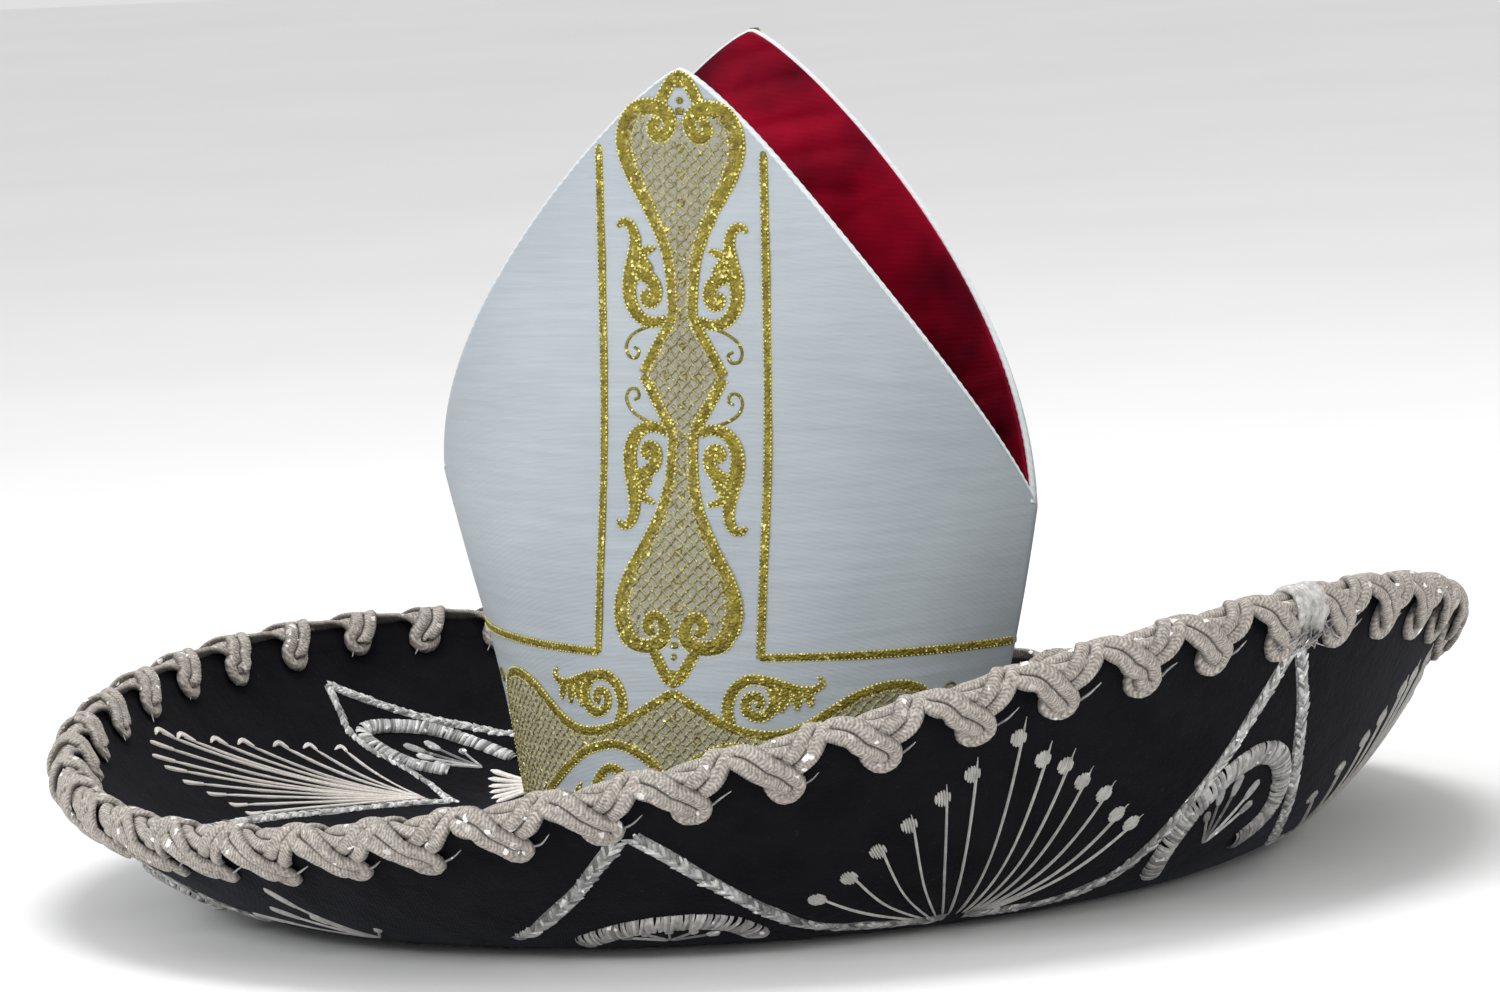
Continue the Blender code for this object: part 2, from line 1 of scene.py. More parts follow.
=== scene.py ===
"""Looks of a wide charro brim that carries a bishop's mitre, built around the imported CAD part.

Units are metres, +Z is up and the mitre's front is towards -Y. Two surfaces carry everything: the
brim, addressed by (angle in degrees, sweep from 0 on the flat to 1 at the rim), and each mitre panel,
addressed by (distance across the panel, height). The formulas repeat those of the CAD part.
"""

import bpy
import numpy as np
from mathutils import Matrix, Vector
from numpy import (
    arange, array, clip, concatenate, cos, cross, interp, linspace, maximum, minimum, pi, radians,
    sin, sqrt, stack, zeros,
)


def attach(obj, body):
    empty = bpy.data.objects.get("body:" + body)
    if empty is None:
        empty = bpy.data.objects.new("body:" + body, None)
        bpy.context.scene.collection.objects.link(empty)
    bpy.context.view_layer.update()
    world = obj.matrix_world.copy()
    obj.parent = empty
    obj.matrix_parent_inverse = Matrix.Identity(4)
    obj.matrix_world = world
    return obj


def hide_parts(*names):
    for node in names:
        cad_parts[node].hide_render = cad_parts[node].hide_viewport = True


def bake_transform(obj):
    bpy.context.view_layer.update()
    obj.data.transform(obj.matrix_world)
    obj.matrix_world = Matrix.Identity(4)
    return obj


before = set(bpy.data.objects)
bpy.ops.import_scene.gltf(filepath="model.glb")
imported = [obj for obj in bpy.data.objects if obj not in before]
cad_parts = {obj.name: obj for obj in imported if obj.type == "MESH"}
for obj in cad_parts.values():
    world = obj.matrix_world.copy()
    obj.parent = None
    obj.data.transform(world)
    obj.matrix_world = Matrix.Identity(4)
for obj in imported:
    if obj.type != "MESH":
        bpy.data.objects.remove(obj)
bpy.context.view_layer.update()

MM = 0.001
HAT = "hat"
rng = np.random.default_rng(20)

# Brim, as in the CAD part.
RIM_X, RIM_Y = 0.2885, 0.2870
FLAT_RADIUS = 0.1935
SWEEP_POWER = 2.2
RIM_HEIGHT = 0.0683
RIM_WAVES = ((1, 0.0159, -0.0126), (2, 0.0207, -0.0169), (3, 0.0022, 0.0005))
OPENING_X, OPENING_Y = 0.0850, 0.0910
TOP_FACE = 0.0056
BOARD_FACES = (0.0013, 0.0043)

# Mitre, as in the CAD part.
CROWN_X, CROWN_Y = -0.0027, 0.0018
HALF_WIDTH = 0.1495
BASE_CURVATURE, CURVATURE_LOSS, CURVATURE_EASE = 10.95, 35.5, 1.2
SEAM_TOP, SEAM_SKEW, LEAN, EASE_LENGTH = 0.155, 0.071, 0.0206, 0.035
HORN_SLOPE = {-1: 0.143, 1: -0.050}
HORN_TOP = {-1: 0.3313, 1: 0.3408}
HORN_POWERS = {-1: (1.024, 0.795), 1: (1.103, 0.783)}
CROWN_BASE = TOP_FACE + 0.0003
ORPHREY_MIDDLE = 0.2075


# ---------------------------------------------------------------- mesh building


def unit(a):
    return a / maximum(np.linalg.norm(a, axis=-1, keepdims=True), 1e-12)


def run_of(line):
    """The distance along a line to each of its points."""
    return concatenate([[0], np.cumsum(np.linalg.norm(np.diff(line, axis=0), axis=1))])


def rows_at(at, length, table):
    """The rows of a table at given distances, where length has the distance of each row."""
    return stack([interp(at, length, column) for column in table.T], 1)


def ring_angles(count):
    return linspace(0, 2 * pi, count, endpoint=False)


def nearest(at, places, *tables):
    """The rows of tables that are nearest to some distances, where at has the distance of each row."""
    index = clip(np.searchsorted(at, places), 0, len(at) - 1)
    return [table[index] for table in tables]


class Build:
    """Collects grids of points into the mesh of one piece."""

    def __init__(self):
        self.points, self.quads, self.uvs, self.count = [], [], [], 0

    def grid(self, points, uv=None, wrap=(False, False), zip_ends=False):
        """One patch: points is (rows, columns, 3) and uv has one more row or column where it wraps.
        zip_ends closes the ends of a flattened tube, whose columns go there and back."""
        self.grids(points[None], None if uv is None else uv[None], wrap, zip_ends)

    def grids(self, points, uv=None, wrap=(False, False), zip_ends=False):
        """Many patches of the same shape: points is (patches, rows, columns, 3)."""
        k, n, m = points.shape[:3]
        index = self.count + arange(k * n * m).reshape(k, n, m)
        rows = arange(n if wrap[0] else n - 1)
        columns = arange(m if wrap[1] else m - 1)
        r, c = np.meshgrid(rows, columns, indexing="ij")
        r1, c1 = (r + 1) % n, (c + 1) % m
        quads = [stack([index[:, r, c], index[:, r, c1], index[:, r1, c1], index[:, r1, c]], -1)]
        if uv is None:
            uv = zeros((k, n + wrap[0], m + wrap[1], 2))
        corners = [stack([uv[:, r, c], uv[:, r, c + 1], uv[:, r + 1, c + 1], uv[:, r + 1, c]], 3)]
        for row in (0, n - 1) if zip_ends else ():
            near, far = index[:, row, : m // 2], index[:, row, : m // 2 - 1 : -1]
            strip = stack([near[:, :-1], far[:, :-1], far[:, 1:], near[:, 1:]], -1)
            quads.append(strip if row == 0 else strip[..., ::-1])
            corners.append(zeros((strip.size // 4, 4, 2)))
        self.points.append(points.reshape(-1, 3))
        self.quads.extend(part.reshape(-1, 4) for part in quads)
        self.uvs.extend(part.reshape(-1, 2) for part in corners)
        self.count += k * n * m

    def piece(self, name, material, body, slot, replaces=()):
        mesh = bpy.data.meshes.new(name)
        points, quads = concatenate(self.points), concatenate(self.quads)
        mesh.from_pydata(points.tolist(), [], quads.tolist())
        layer = mesh.uv_layers.new(name="thread")
        layer.data.foreach_set("uv", concatenate(self.uvs).astype(np.float32).ravel())
        mesh.shade_smooth()
        mesh.materials.append(material)
        obj = bpy.data.objects.new(name, mesh)
        bpy.context.scene.collection.objects.link(obj)
        if body:
            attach(obj, body)
        if replaces:
            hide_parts(*replaces)
        return obj


def catmull(control, closed=False, steps=16):
    """A smooth curve through rows of values."""
    points = np.asarray(control, float)
    if closed:
        points = np.vstack([points[-1], points, points[:2]])
    else:
        points = np.vstack([2 * points[0] - points[1], points, 2 * points[-1] - points[-2]])
    t = linspace(0, 1, steps, endpoint=False)[:, None]
    parts = []
    for a, b, c, d in zip(points, points[1:], points[2:], points[3:]):
        square = 2 * a - 5 * b + 4 * c - d
        parts.append(0.5 * (2 * b + (c - a) * t + square * t**2 + (3 * b - a - 3 * c + d) * t**3))
    if not closed:
        parts.append(points[-2][None])
    return np.vstack(parts)


def lay(surface, control, step, closed=False, smooth=True):
    """Places at even steps along a curve on a surface: (points, normals, rows, distances)."""
    dense = catmull(control, closed) if smooth else np.asarray(control, float)
    if closed:
        dense = np.vstack([dense, dense[:1]])
    length = run_of(surface(dense)[0])
    count = max(3, int(round(length[-1] / step)))
    at = linspace(0, length[-1], count + 1)
    if closed:
        at = at[:-1]
    rows = rows_at(at, length, dense)
    points, normals = surface(rows)
    return points, normals, rows, at


def frames(points, normals, closed=False):
    if closed:
        ahead = unit(np.roll(points, -1, 0) - np.roll(points, 1, 0))
    else:
        ahead = unit(np.gradient(points, axis=0))
    side = unit(cross(normals, ahead))
    return ahead, side, unit(cross(ahead, side))


def sweep(build, points, normals, section, at, closed=False, tube=True, seed=None, phase=None):
    """A section (rows, columns, (side, up)) swept along a line. A tube joins its last column to its
    first; an open one is a strip. The thread map's X is seed, or the distance in centimetres plus
    phase, where a column's share of the way round is Y."""
    _, side, up = frames(points, normals, closed)
    section = np.broadcast_to(section, (len(points),) + section.shape[-2:])
    grid = points[:, None] + side[:, None] * section[..., 0:1] + up[:, None] * section[..., 1:2]
    n, m = grid.shape[0] + closed, grid.shape[1] + tube
    along = np.append(at, at[-1] + at[1] - at[0]) if closed else at
    uv = zeros((n, m, 2))
    uv[..., 0] = along[:, None] / 0.01 if seed is None else seed
    if phase is not None:
        uv[..., 0] = concatenate([phase, phase[:, :1]], 1) if tube else phase
    uv[..., 1] = linspace(0, 1, m)
    build.grid(grid, uv, (closed, tube))


def stamp(build, start, ahead, side, up, dome=0.5, full=0.5, shape=(5, 5), sink=0.15):
    """Small domed stitches: each starts at start, is ahead long, 2 side wide and up high."""
    a = linspace(0, 1, shape[0])
    b = linspace(-1, 1, shape[1])
    width = clip(sin(pi * (0.04 + 0.92 * a)), 0, 1) ** full
    rise = width[:, None] ** 0.8 * clip(1 - b**2, 0, 1) ** dome - sink
    grid = (
        start[:, None, None]
        + ahead[:, None, None] * a[None, :, None, None]
        + side[:, None, None] * (width[:, None] * b)[None, ..., None]
        + up[:, None, None] * rise[None, ..., None]
    )
    uv = zeros(grid.shape[:3] + (2,))
    uv[..., 0] = rng.random(len(start))[:, None, None]
    uv[..., 1] = a[None, :, None]
    build.grids(grid, uv)


RIPPLE_WAVES = 9


def ripples(x, y, seed):
    """A smooth random field of about unit size, of unit wavelength in x and y."""
    draw = np.random.default_rng(seed)
    total = zeros(np.broadcast(x, y).shape)
    for _ in range(RIPPLE_WAVES):
        heading = draw.uniform(0, 2 * pi)
        pace = draw.uniform(0.6, 1.6) * 2 * pi
        total += sin(pace * (x * cos(heading) + y * sin(heading)) + draw.uniform(0, 2 * pi))
    return total / sqrt(RIPPLE_WAVES / 2)


# ---------------------------------------------------------------- the brim's surface


def rim_radius(angle):
    t = radians(angle)
    return RIM_X * RIM_Y / np.hypot(RIM_Y * cos(t), RIM_X * sin(t))


def rim_height(angle):
    t = radians(angle)
    return RIM_HEIGHT + sum(c * cos(n * t) + s * sin(n * t) for n, c, s in RIM_WAVES)


def brim_base(angle, part):
    t = radians(angle)
    radius = FLAT_RADIUS + (rim_radius(angle) - FLAT_RADIUS) * part
    height = rim_height(angle) * maximum(part, 0.0) ** SWEEP_POWER
    return stack(np.broadcast_arrays(radius * cos(t), radius * sin(t), height), -1)


SWEEP_STEP, ANGLE_STEP = 0.002, 0.1


def brim_frame(angle, part):
    """(point, outward direction up the brim, normal on the top side)."""
    ahead = brim_base(angle, part + SWEEP_STEP) - brim_base(angle, part - SWEEP_STEP)
    aside = brim_base(angle + ANGLE_STEP, part) - brim_base(angle - ANGLE_STEP, part)
    return brim_base(angle, part), unit(ahead), unit(cross(ahead, aside))


def brim(angle, part, offset):
    point, _, normal = brim_frame(angle, part)
    return point + normal * np.asarray(offset)[..., None]


def rim_run(angle):
    """The length of the whole sweep, going by its last tenth."""
    return np.linalg.norm(brim_base(angle, 1.0) - brim_base(angle, 0.9), axis=-1) / 0.1


def brim_on(face):
    """The top (1) or underside (-1) of the brim, for embroidery."""

    def surface(rows):
        point, _, normal = brim_frame(rows[:, 0], rows[:, 1])
        return point + normal * (TOP_FACE if face > 0 else 0.0), normal * face

    return surface


# ---------------------------------------------------------------- the mitre's surface


def curvature(z):
    straight = BASE_CURVATURE - CURVATURE_LOSS * z
    return (straight + np.hypot(straight, CURVATURE_EASE)) / 2


def arc_depth(k):
    return (1 - cos(HALF_WIDTH * k)) / k


def panel_depth(z, side):
    """How far a panel stands out in the middle: an arc up to the seam's top, then easing into a slope."""
    depth = arc_depth(curvature(minimum(z, SEAM_TOP)))
    above = maximum(z - SEAM_TOP, 0.0)
    start = (arc_depth(curvature(SEAM_TOP - MM)) - arc_depth(curvature(SEAM_TOP))) / MM
    slope = HORN_SLOPE[side]
    return depth - slope * above - (start - slope) * EASE_LENGTH * (1 - np.exp(-above / EASE_LENGTH))


def crown(u, z, side, inwards):
    k = curvature(z)
    radius = 1 / k - inwards
    x = radius * sin(u * k)
    y = panel_depth(z, side) - 1 / k + radius * cos(u * k)
    height = z - SEAM_SKEW * x * minimum(z / SEAM_TOP, 1.0)
    return stack(np.broadcast_arrays(CROWN_X + x, CROWN_Y - LEAN * z + side * y, height), -1)


def horn_half_width(z, side):
    across, fullness = HORN_POWERS[side]
    part = clip((z - SEAM_TOP) / (HORN_TOP[side] - SEAM_TOP), 0, 1)
    return HALF_WIDTH * (1 - part**across) ** fullness


def edge_reach(z, side, inwards):
    """How far across a layer of a panel runs before it meets the other panel."""
    k = curvature(z)
    share = (1 / k - panel_depth(z, side)) / (1 / k - inwards)
    return np.arccos(clip(share, -1, 1)) / k


def edge_of(z, side, inwards):
    return minimum(horn_half_width(z, side), edge_reach(z, side, inwards))


def crown_on(side):
    def surface(rows):
        point = crown(rows[:, 0], rows[:, 1], side, 0.0)
        return point, unit(crown(rows[:, 0], rows[:, 1], side, -MM) - point)

    return surface


# ---------------------------------------------------------------- materials


class Paint:
    """A procedural material: noise-driven colour and bump around one Principled shader."""

    def __init__(self, name, roughness, metallic=0.0, sheen=0.0, specular=0.5):
        self.material = bpy.data.materials.new(name)
        self.material.use_nodes = True
        self.nodes = self.material.node_tree.nodes
        self.shader = self.nodes["Principled BSDF"].inputs
        self.shader["Roughness"].default_value = roughness
        self.shader["Metallic"].default_value = metallic
        self.shader["Sheen Weight"].default_value = sheen
        self.shader["Sheen Roughness"].default_value = 0.4
        self.shader["Specular IOR Level"].default_value = specular
        self.place = self.nodes.new("ShaderNodeTexCoord").outputs["Object"]

    def put(self, value, socket):
        """Sets a socket to a constant, or links it to another socket."""
        if isinstance(value, bpy.types.NodeSocket):
            self.material.node_tree.links.new(value, socket)
        else:
            socket.default_value = (*value, 1.0) if socket.type == "RGBA" else value

    def node(self, kind, inputs=None, **settings):
        node = self.nodes.new(kind)
        for key, value in settings.items():
            setattr(node, key, value)
        for key, value in (inputs or {}).items():
            self.put(value, node.inputs[key])
        return node

    def noise(self, scale, detail=3.0, rough=0.6, stretch=None):
        vector = self.place
        if stretch:
            vector = self.node("ShaderNodeMapping", {"Vector": vector, "Scale": stretch}).outputs["Vector"]
        inputs = {"Vector": vector, "Scale": scale, "Detail": detail, "Roughness": rough}
        return self.node("ShaderNodeTexNoise", inputs).outputs["Fac"]

    def cells(self, scale, output="Color"):
        return self.node("ShaderNodeTexVoronoi", {"Vector": self.place, "Scale": scale}).outputs[output]

    def thread(self, axis):
        """One coordinate of the piece's own thread map."""
        uv = self.node("ShaderNodeUVMap", uv_map="thread").outputs["UV"]
        return self.node("ShaderNodeSeparateXYZ", {"Vector": uv}).outputs[axis]

    def wave(self, scale, direction, distortion, detail_scale):
        inputs = {"Vector": self.place, "Scale": scale}
        inputs.update({"Distortion": distortion, "Detail Scale": detail_scale})
        return self.node("ShaderNodeTexWave", inputs, bands_direction=direction).outputs["Fac"]

    def ramp(self, factor, stops):
        node = self.node("ShaderNodeValToRGB", {"Fac": factor})
        elements = node.color_ramp.elements
        while len(elements) < len(stops):
            elements.new(0.5)
        for element, (place, colour) in zip(elements, stops):
            element.position = place
            element.color = (*colour, 1.0)
        return node.outputs["Color"]

    def math(self, operation, *values):
        return self.node("ShaderNodeMath", dict(enumerate(values)), operation=operation).outputs[0]

    def mix(self, factor, a, b, blend="MIX"):
        inputs = {0: factor, 6: a, 7: b}
        return self.node("ShaderNodeMix", inputs, data_type="RGBA", blend_type=blend).outputs[2]

    def colour(self, socket):
        self.put(socket, self.shader["Base Color"])

    def gloss(self, factor, low, high):
        inputs = {"Value": factor, "To Min": low, "To Max": high}
        self.put(self.node("ShaderNodeMapRange", inputs).outputs["Result"], self.shader["Roughness"])

    def bump(self, *layers):
        """Each layer is (height socket, depth in metres); they add up."""
        below = {}
        for height, depth in layers:
            inputs = {"Height": height, "Distance": depth, "Strength": 1.0, **below}
            below = {"Normal": self.node("ShaderNodeBump", inputs).outputs["Normal"]}
        self.put(below["Normal"], self.shader["Normal"])


def grey(value):
    return (value,) * 3


def velveteen():
    paint = Paint("black_velveteen_cloth", 0.95, sheen=0.07, specular=0.08)
    paint.put((0.55, 0.58, 0.72), paint.shader["Sheen Tint"])
    mottle = paint.noise(38.0, 5.0, 0.65)
    nap = paint.noise(900.0, 2.0, 0.7)
    ground = paint.ramp(mottle, ((0.3, (0.0028, 0.0028, 0.0036)), (0.7, (0.0068, 0.0068, 0.0090))))
    lint = paint.ramp(paint.noise(420.0, 1.0, 0.5), ((0.70, grey(0)), (0.84, (0.010, 0.010, 0.013))))
    paint.colour(paint.mix(1.0, ground, lint, "ADD"))
    paint.gloss(nap, 0.80, 1.0)
    twill = paint.wave(430.0, "DIAGONAL", 2.0, 2.0)
    paint.bump((nap, 0.00028), (twill, 0.00007), (mottle, 0.0016))
    return paint.material


# Painted shade across a two-roll braid: dark in the hollow between the rolls, half dark at the outer edges.
DEEP, EDGE, FULL = 0.22, 0.50, 1.0
PAINTED_GROOVE_SHADE = (
    (0, EDGE), (0.06, FULL), (0.345, FULL), (0.380, DEEP), (0.400, DEEP), (0.435, FULL), (0.72, FULL),
    (0.778, EDGE),
)


def foil_cells(paint, cell, share, fade):
    """Which cells are a speck of foil: about share of them."""
    return paint.ramp(paint.cells(cell), ((1 - share, grey(0)), (1 - share * fade, grey(1))))


def silver(name, dark, light, painted_glint, share, roughness, metallic, cell, shades=(0.82, 1.0), plait=False):
    """Metal-wrapped thread: dull fibres with bright foil specks, whose near-white colour is partly a painted
    glint. shades are the darkest and lightest thread; plait paints shade into the hollow between a braid's
    rolls, at its outer edges and in the hollows between its threads."""
    paint = Paint(name, roughness, metallic=metallic, sheen=0.1)
    body = paint.ramp(paint.noise(620.0 if plait else 260.0, 4.0, 0.7), ((0.30, dark), (0.72, light)))
    foil = foil_cells(paint, cell, share, 0.6)
    number = paint.thread("X")
    if plait:
        # Painted shade: dark in the hollow between the two rolls and half dark at the braid's outer edges.
        painted_groove_shade = paint.ramp(paint.thread("Y"), [(place, grey(shade)) for place, shade in PAINTED_GROOVE_SHADE])
        body = paint.mix(1.0, body, painted_groove_shade, "MULTIPLY")
        # Painted shade between the threads: each thread darkens towards its hollows, in step with its relief.
        wave = paint.math("COSINE", paint.math("MULTIPLY", number, 2 * pi))
        number = paint.math("MULTIPLY_ADD", wave, 0.5, 0.5)
    shade = paint.ramp(number, ((0.0, grey(shades[0])), (1.0, grey(shades[1]))))
    # Foil specks take a near-white colour: real foil, brightened as a painted glint.
    paint.colour(paint.mix(foil, paint.mix(1.0, body, shade, "MULTIPLY"), painted_glint))
    fibre = paint.noise(1500.0, 2.0, 0.6)
    paint.gloss(foil, roughness + 0.15, 0.22)
    layers = [(fibre, 0.00022), (paint.cells(cell, "Distance"), 0.00022)]
    if plait:
        layers.append((number, 0.00014))
    paint.bump(*layers)
    return paint.material


def gold(name, dark, light, share, cell):
    paint = Paint(name, 0.4, metallic=0.55)
    body = paint.ramp(paint.noise(330.0, 4.0, 0.7), ((0.32, dark), (0.70, light)))
    foil = foil_cells(paint, cell, share, 0.5)
    # Foil specks take a pale gold colour: real foil, brightened as a painted glint.
    paint.colour(paint.mix(foil, body, (0.90, 0.80, 0.26)))
    paint.gloss(foil, 0.50, 0.24)
    paint.bump((paint.cells(cell, "Distance"), 0.0005), (paint.noise(1400.0, 2.0), 0.0002))
    return paint.material


SATIN_STREAK = (30.0, 30.0, 520.0)


def satin(name, shades, roughness, sheen, specular=0.45, patch=9.0):
    """Satin with a fine level weave and faint streaks where threads pull."""
    paint = Paint(name, roughness, sheen=sheen, specular=specular)
    # Broad random patches of tone; on the crimson their wide range, dark to bright, is painted light and
    # shade.
    broad = paint.noise(patch, 3.0, 0.5)
    streaks = paint.noise(1.0, 3.0, 0.6, stretch=SATIN_STREAK)
    tone = paint.ramp(broad, ((0.30, shades[0]), (0.72, shades[1])))
    fine = paint.ramp(streaks, ((0.30, grey(0.90)), (0.70, grey(1))))
    paint.colour(paint.mix(1.0, tone, fine, "MULTIPLY"))
    weave = paint.wave(620.0, "Z", 1.2, 3.0)
    paint.gloss(streaks, roughness - 0.06, roughness + 0.08)
    paint.bump((weave, 0.00006), (streaks, 0.00014), (paint.noise(1600.0, 1.0), 0.00005))
    return paint.material


def woven(name, dark, light, scale, roughness=0.85, depth=0.0004):
    """Plain weave: two crossed thread directions."""
    paint = Paint(name, roughness)
    across = paint.wave(scale, "Z", 0.6, 4.0)
    down = paint.wave(scale, "DIAGONAL", 0.6, 4.0)
    both = paint.math("MULTIPLY", across, down)
    blotch = paint.noise(55.0, 4.0, 0.6)
    paint.colour(paint.mix(blotch, dark, light))
    paint.gloss(blotch, roughness - 0.1, roughness + 0.1)
    paint.bump((both, depth), (paint.noise(700.0, 2.0), 0.0002))
    return paint.material


def steel():
    paint = Paint("drawn_steel", 0.35, metallic=1.0)
    drawn = paint.noise(600.0, 3.0, 0.6, stretch=(1.0, 1.0, 6.0))
    paint.colour(paint.ramp(drawn, ((0.3, (0.30, 0.30, 0.31)), (0.7, (0.55, 0.55, 0.56)))))
    paint.gloss(drawn, 0.25, 0.5)
    paint.bump((drawn, 0.0001))
    return paint.material


def pale_floor():
    paint = Paint("pale_floor", 0.7)
    paint.colour(paint.ramp(paint.noise(3.0, 3.0, 0.5), ((0.3, grey(0.86)), (0.7, grey(0.89)))))
    return paint.material


VELVETEEN = velveteen()
BRAID = silver(
    "silver_braid_thread", dark=(0.21, 0.185, 0.163), light=(0.70, 0.635, 0.565), painted_glint=(1.0, 0.99, 0.97),
    share=0.13, roughness=0.5, metallic=0.15, cell=470.0, shades=(0.60, 1.0), plait=True,
)
TRIM = silver(
    "silver_foil_trim", dark=grey(0.34), light=(0.95, 0.94, 0.92), painted_glint=grey(1.0),
    share=0.16, roughness=0.34, metallic=0.40, cell=620.0, shades=(0.22, 1.0),
)
CORD = silver(
    "wound_silver_cord", dark=(0.30, 0.295, 0.285), light=(0.74, 0.725, 0.70), painted_glint=(1.0, 0.99, 0.97),
    share=0.12, roughness=0.42, metallic=0.30, cell=700.0, shades=(0.32, 1.0),
)
# Lighter copies of the wound cord and the ray thread for the top face: painted light, where the top face is
# lit from above.
CORD_PAINTED_LIGHT = silver(
    "silver_cord_painted_light", dark=(0.62, 0.61, 0.60), light=(1.0, 0.99, 0.98), painted_glint=grey(1.0),
    share=0.20, roughness=0.40, metallic=0.0, cell=700.0, shades=(0.16, 1.0),
)
RAY = silver(
    "grey_ray_thread", dark=(0.36, 0.35, 0.33), light=(0.60, 0.585, 0.55), painted_glint=(0.90, 0.88, 0.84),
    share=0.05, roughness=0.6, metallic=0.05, cell=900.0,
)
RAY_PAINTED_LIGHT = silver(
    "cream_ray_thread_painted_light", dark=(0.82, 0.76, 0.70), light=(1.0, 0.955, 0.90), painted_glint=(1.0, 1.0, 0.97),
    share=0.08, roughness=0.6, metallic=0.0, cell=900.0,
)
GOLD = gold("gold_padded_thread", (0.11, 0.085, 0.009), (0.36, 0.295, 0.038), 0.20, 900.0)
GOLD_BEAD = gold("gold_bead_thread", (0.60, 0.50, 0.11), (0.95, 0.86, 0.32), 0.30, 620.0)
GOLD_NET = gold("gold_net_thread", (0.22, 0.19, 0.08), (0.50, 0.45, 0.25), 0.14, 700.0)
NET_GROUND = woven("net_ground_cloth", (0.42, 0.42, 0.33), (0.66, 0.66, 0.56), 900.0, 0.8, 0.0005)
WHITE = satin("white_satin_cloth", ((0.385, 0.432, 0.468), (0.475, 0.525, 0.56)), 0.55, 0.06)
WHITE_EDGE = satin("white_rolled_edge", ((0.62, 0.66, 0.68), (0.74, 0.77, 0.78)), 0.55, 0.2)
# The crimson's broad dark and bright patches are painted light and shade.
CRIMSON = satin(
    "crimson_satin_cloth", ((0.035, 0.0002, 0.006), (0.44, 0.003, 0.026)), 0.5, 0.0, specular=0.05, patch=19.0
)
COTTON = woven("cotton_band_cloth", (0.50, 0.44, 0.35), (0.66, 0.60, 0.50), 420.0)
BUCKRAM = woven("buckram_cloth", (0.62, 0.59, 0.50), (0.78, 0.75, 0.67), 300.0, 0.9, 0.0006)
BOARD = woven("pressed_brim_board", (0.36, 0.28, 0.18), (0.50, 0.41, 0.29), 240.0, 0.9, 0.0005)


# ---------------------------------------------------------------- camera, light and floor


def put_camera():
    azimuth, elevation, roll, distance = radians(23.615), radians(6.849), radians(3.865), 3.367
    centre, shift_right, shift_up = array([-0.0027, 0.0006, 0.12]), 0.0024, 0.0312
    level_back = array([sin(azimuth), -cos(azimuth), 0.0])
    back = level_back * cos(elevation) + array([0.0, 0.0, sin(elevation)])
    level = array([cos(azimuth), sin(azimuth), 0.0])
    above = cross(back, level)
    right = cos(roll) * level - sin(roll) * above
    up = sin(roll) * level + cos(roll) * above
    camera = bpy.data.objects.new("camera", bpy.data.cameras.new("camera"))
    camera.data.sensor_width = 36.0
    camera.data.lens = 194.9
    camera.data.clip_end = 30.0
    axes = np.eye(4)
    axes[:3, :3] = stack([right, up, back], 1)
    axes[:3, 3] = centre + right * shift_right + up * shift_up + back * distance
    camera.matrix_world = Matrix(axes.tolist())
    bpy.context.scene.collection.objects.link(camera)
    bpy.context.scene.camera = camera


def area_light(name, place, target, size, power, colour=(1.0, 1.0, 1.0)):
    data = bpy.data.lights.new(name, "AREA")
    data.shape = "DISK"
    data.size = size
    data.energy = power
    data.color = colour
    light = bpy.data.objects.new(name, data)
    light.location = place
    light.rotation_euler = (Vector(target) - Vector(place)).to_track_quat("-Z", "Y").to_euler()
    bpy.context.scene.collection.objects.link(light)


FLOOR_DROP = -0.0002


def put_stage():
    build = Build()
    x, y = np.meshgrid(linspace(-6, 6, 5), linspace(-6, 6, 5), indexing="ij")
    build.grid(stack([x, y, np.full_like(x, FLOOR_DROP)], -1))
    floor = build.piece("floor", pale_floor(), None, "floor")
    world = bpy.data.worlds.new("world")
    world.use_nodes = True
    background = world.node_tree.nodes["Background"].inputs
    background["Color"].default_value = (1.0, 1.0, 1.0, 1.0)
    background["Strength"].default_value = 0.75
    bpy.context.scene.world = world
    bpy.context.scene.view_settings.view_transform = "Standard"
    area_light("key", (-1.5, -2.4, 1.7), (0.0, 0.0, 0.15), 1.2, 42.0, (0.97, 0.985, 1.0))
    area_light("fill", (2.4, -1.6, 1.0), (0.0, 0.0, 0.12), 1.6, 14.0, (1.0, 0.98, 0.95))
    area_light("top", (-0.2, 0.3, 2.4), (0.0, 0.0, 0.1), 1.2, 30.0)


# ---------------------------------------------------------------- brim cloth


BRIM_ANGLES = arange(0, 360, 1.0)[:, None]


def brim_face(offset, slack=0.0):
    """One face of a brim layer, from the head opening to the rim, with low lumps where it is slack."""
    t = radians(BRIM_ANGLES)
    hole = stack([CROWN_X + OPENING_X * cos(t), CROWN_Y + OPENING_Y * sin(t), 0 * t], -1)
    parts = linspace(0, 1, 42)[None] ** 0.9
    flat = brim_base(BRIM_ANGLES, zeros((1, 1)))
    inner = hole + (flat - hole) * linspace(0, 1, 12, endpoint=False)[None, :, None]
    inner[..., 2] = offset
    outer = brim(BRIM_ANGLES, parts, np.full((1, 1), offset))
    points = concatenate([inner, outer], 1)
    lumps = np.abs(ripples(points[..., 0] / 0.055, points[..., 1] / 0.055, 3)) * slack
    points[..., 2] += lumps * concatenate([zeros(12), parts[0] * (1 - parts[0]) * 4])[None]
    return points


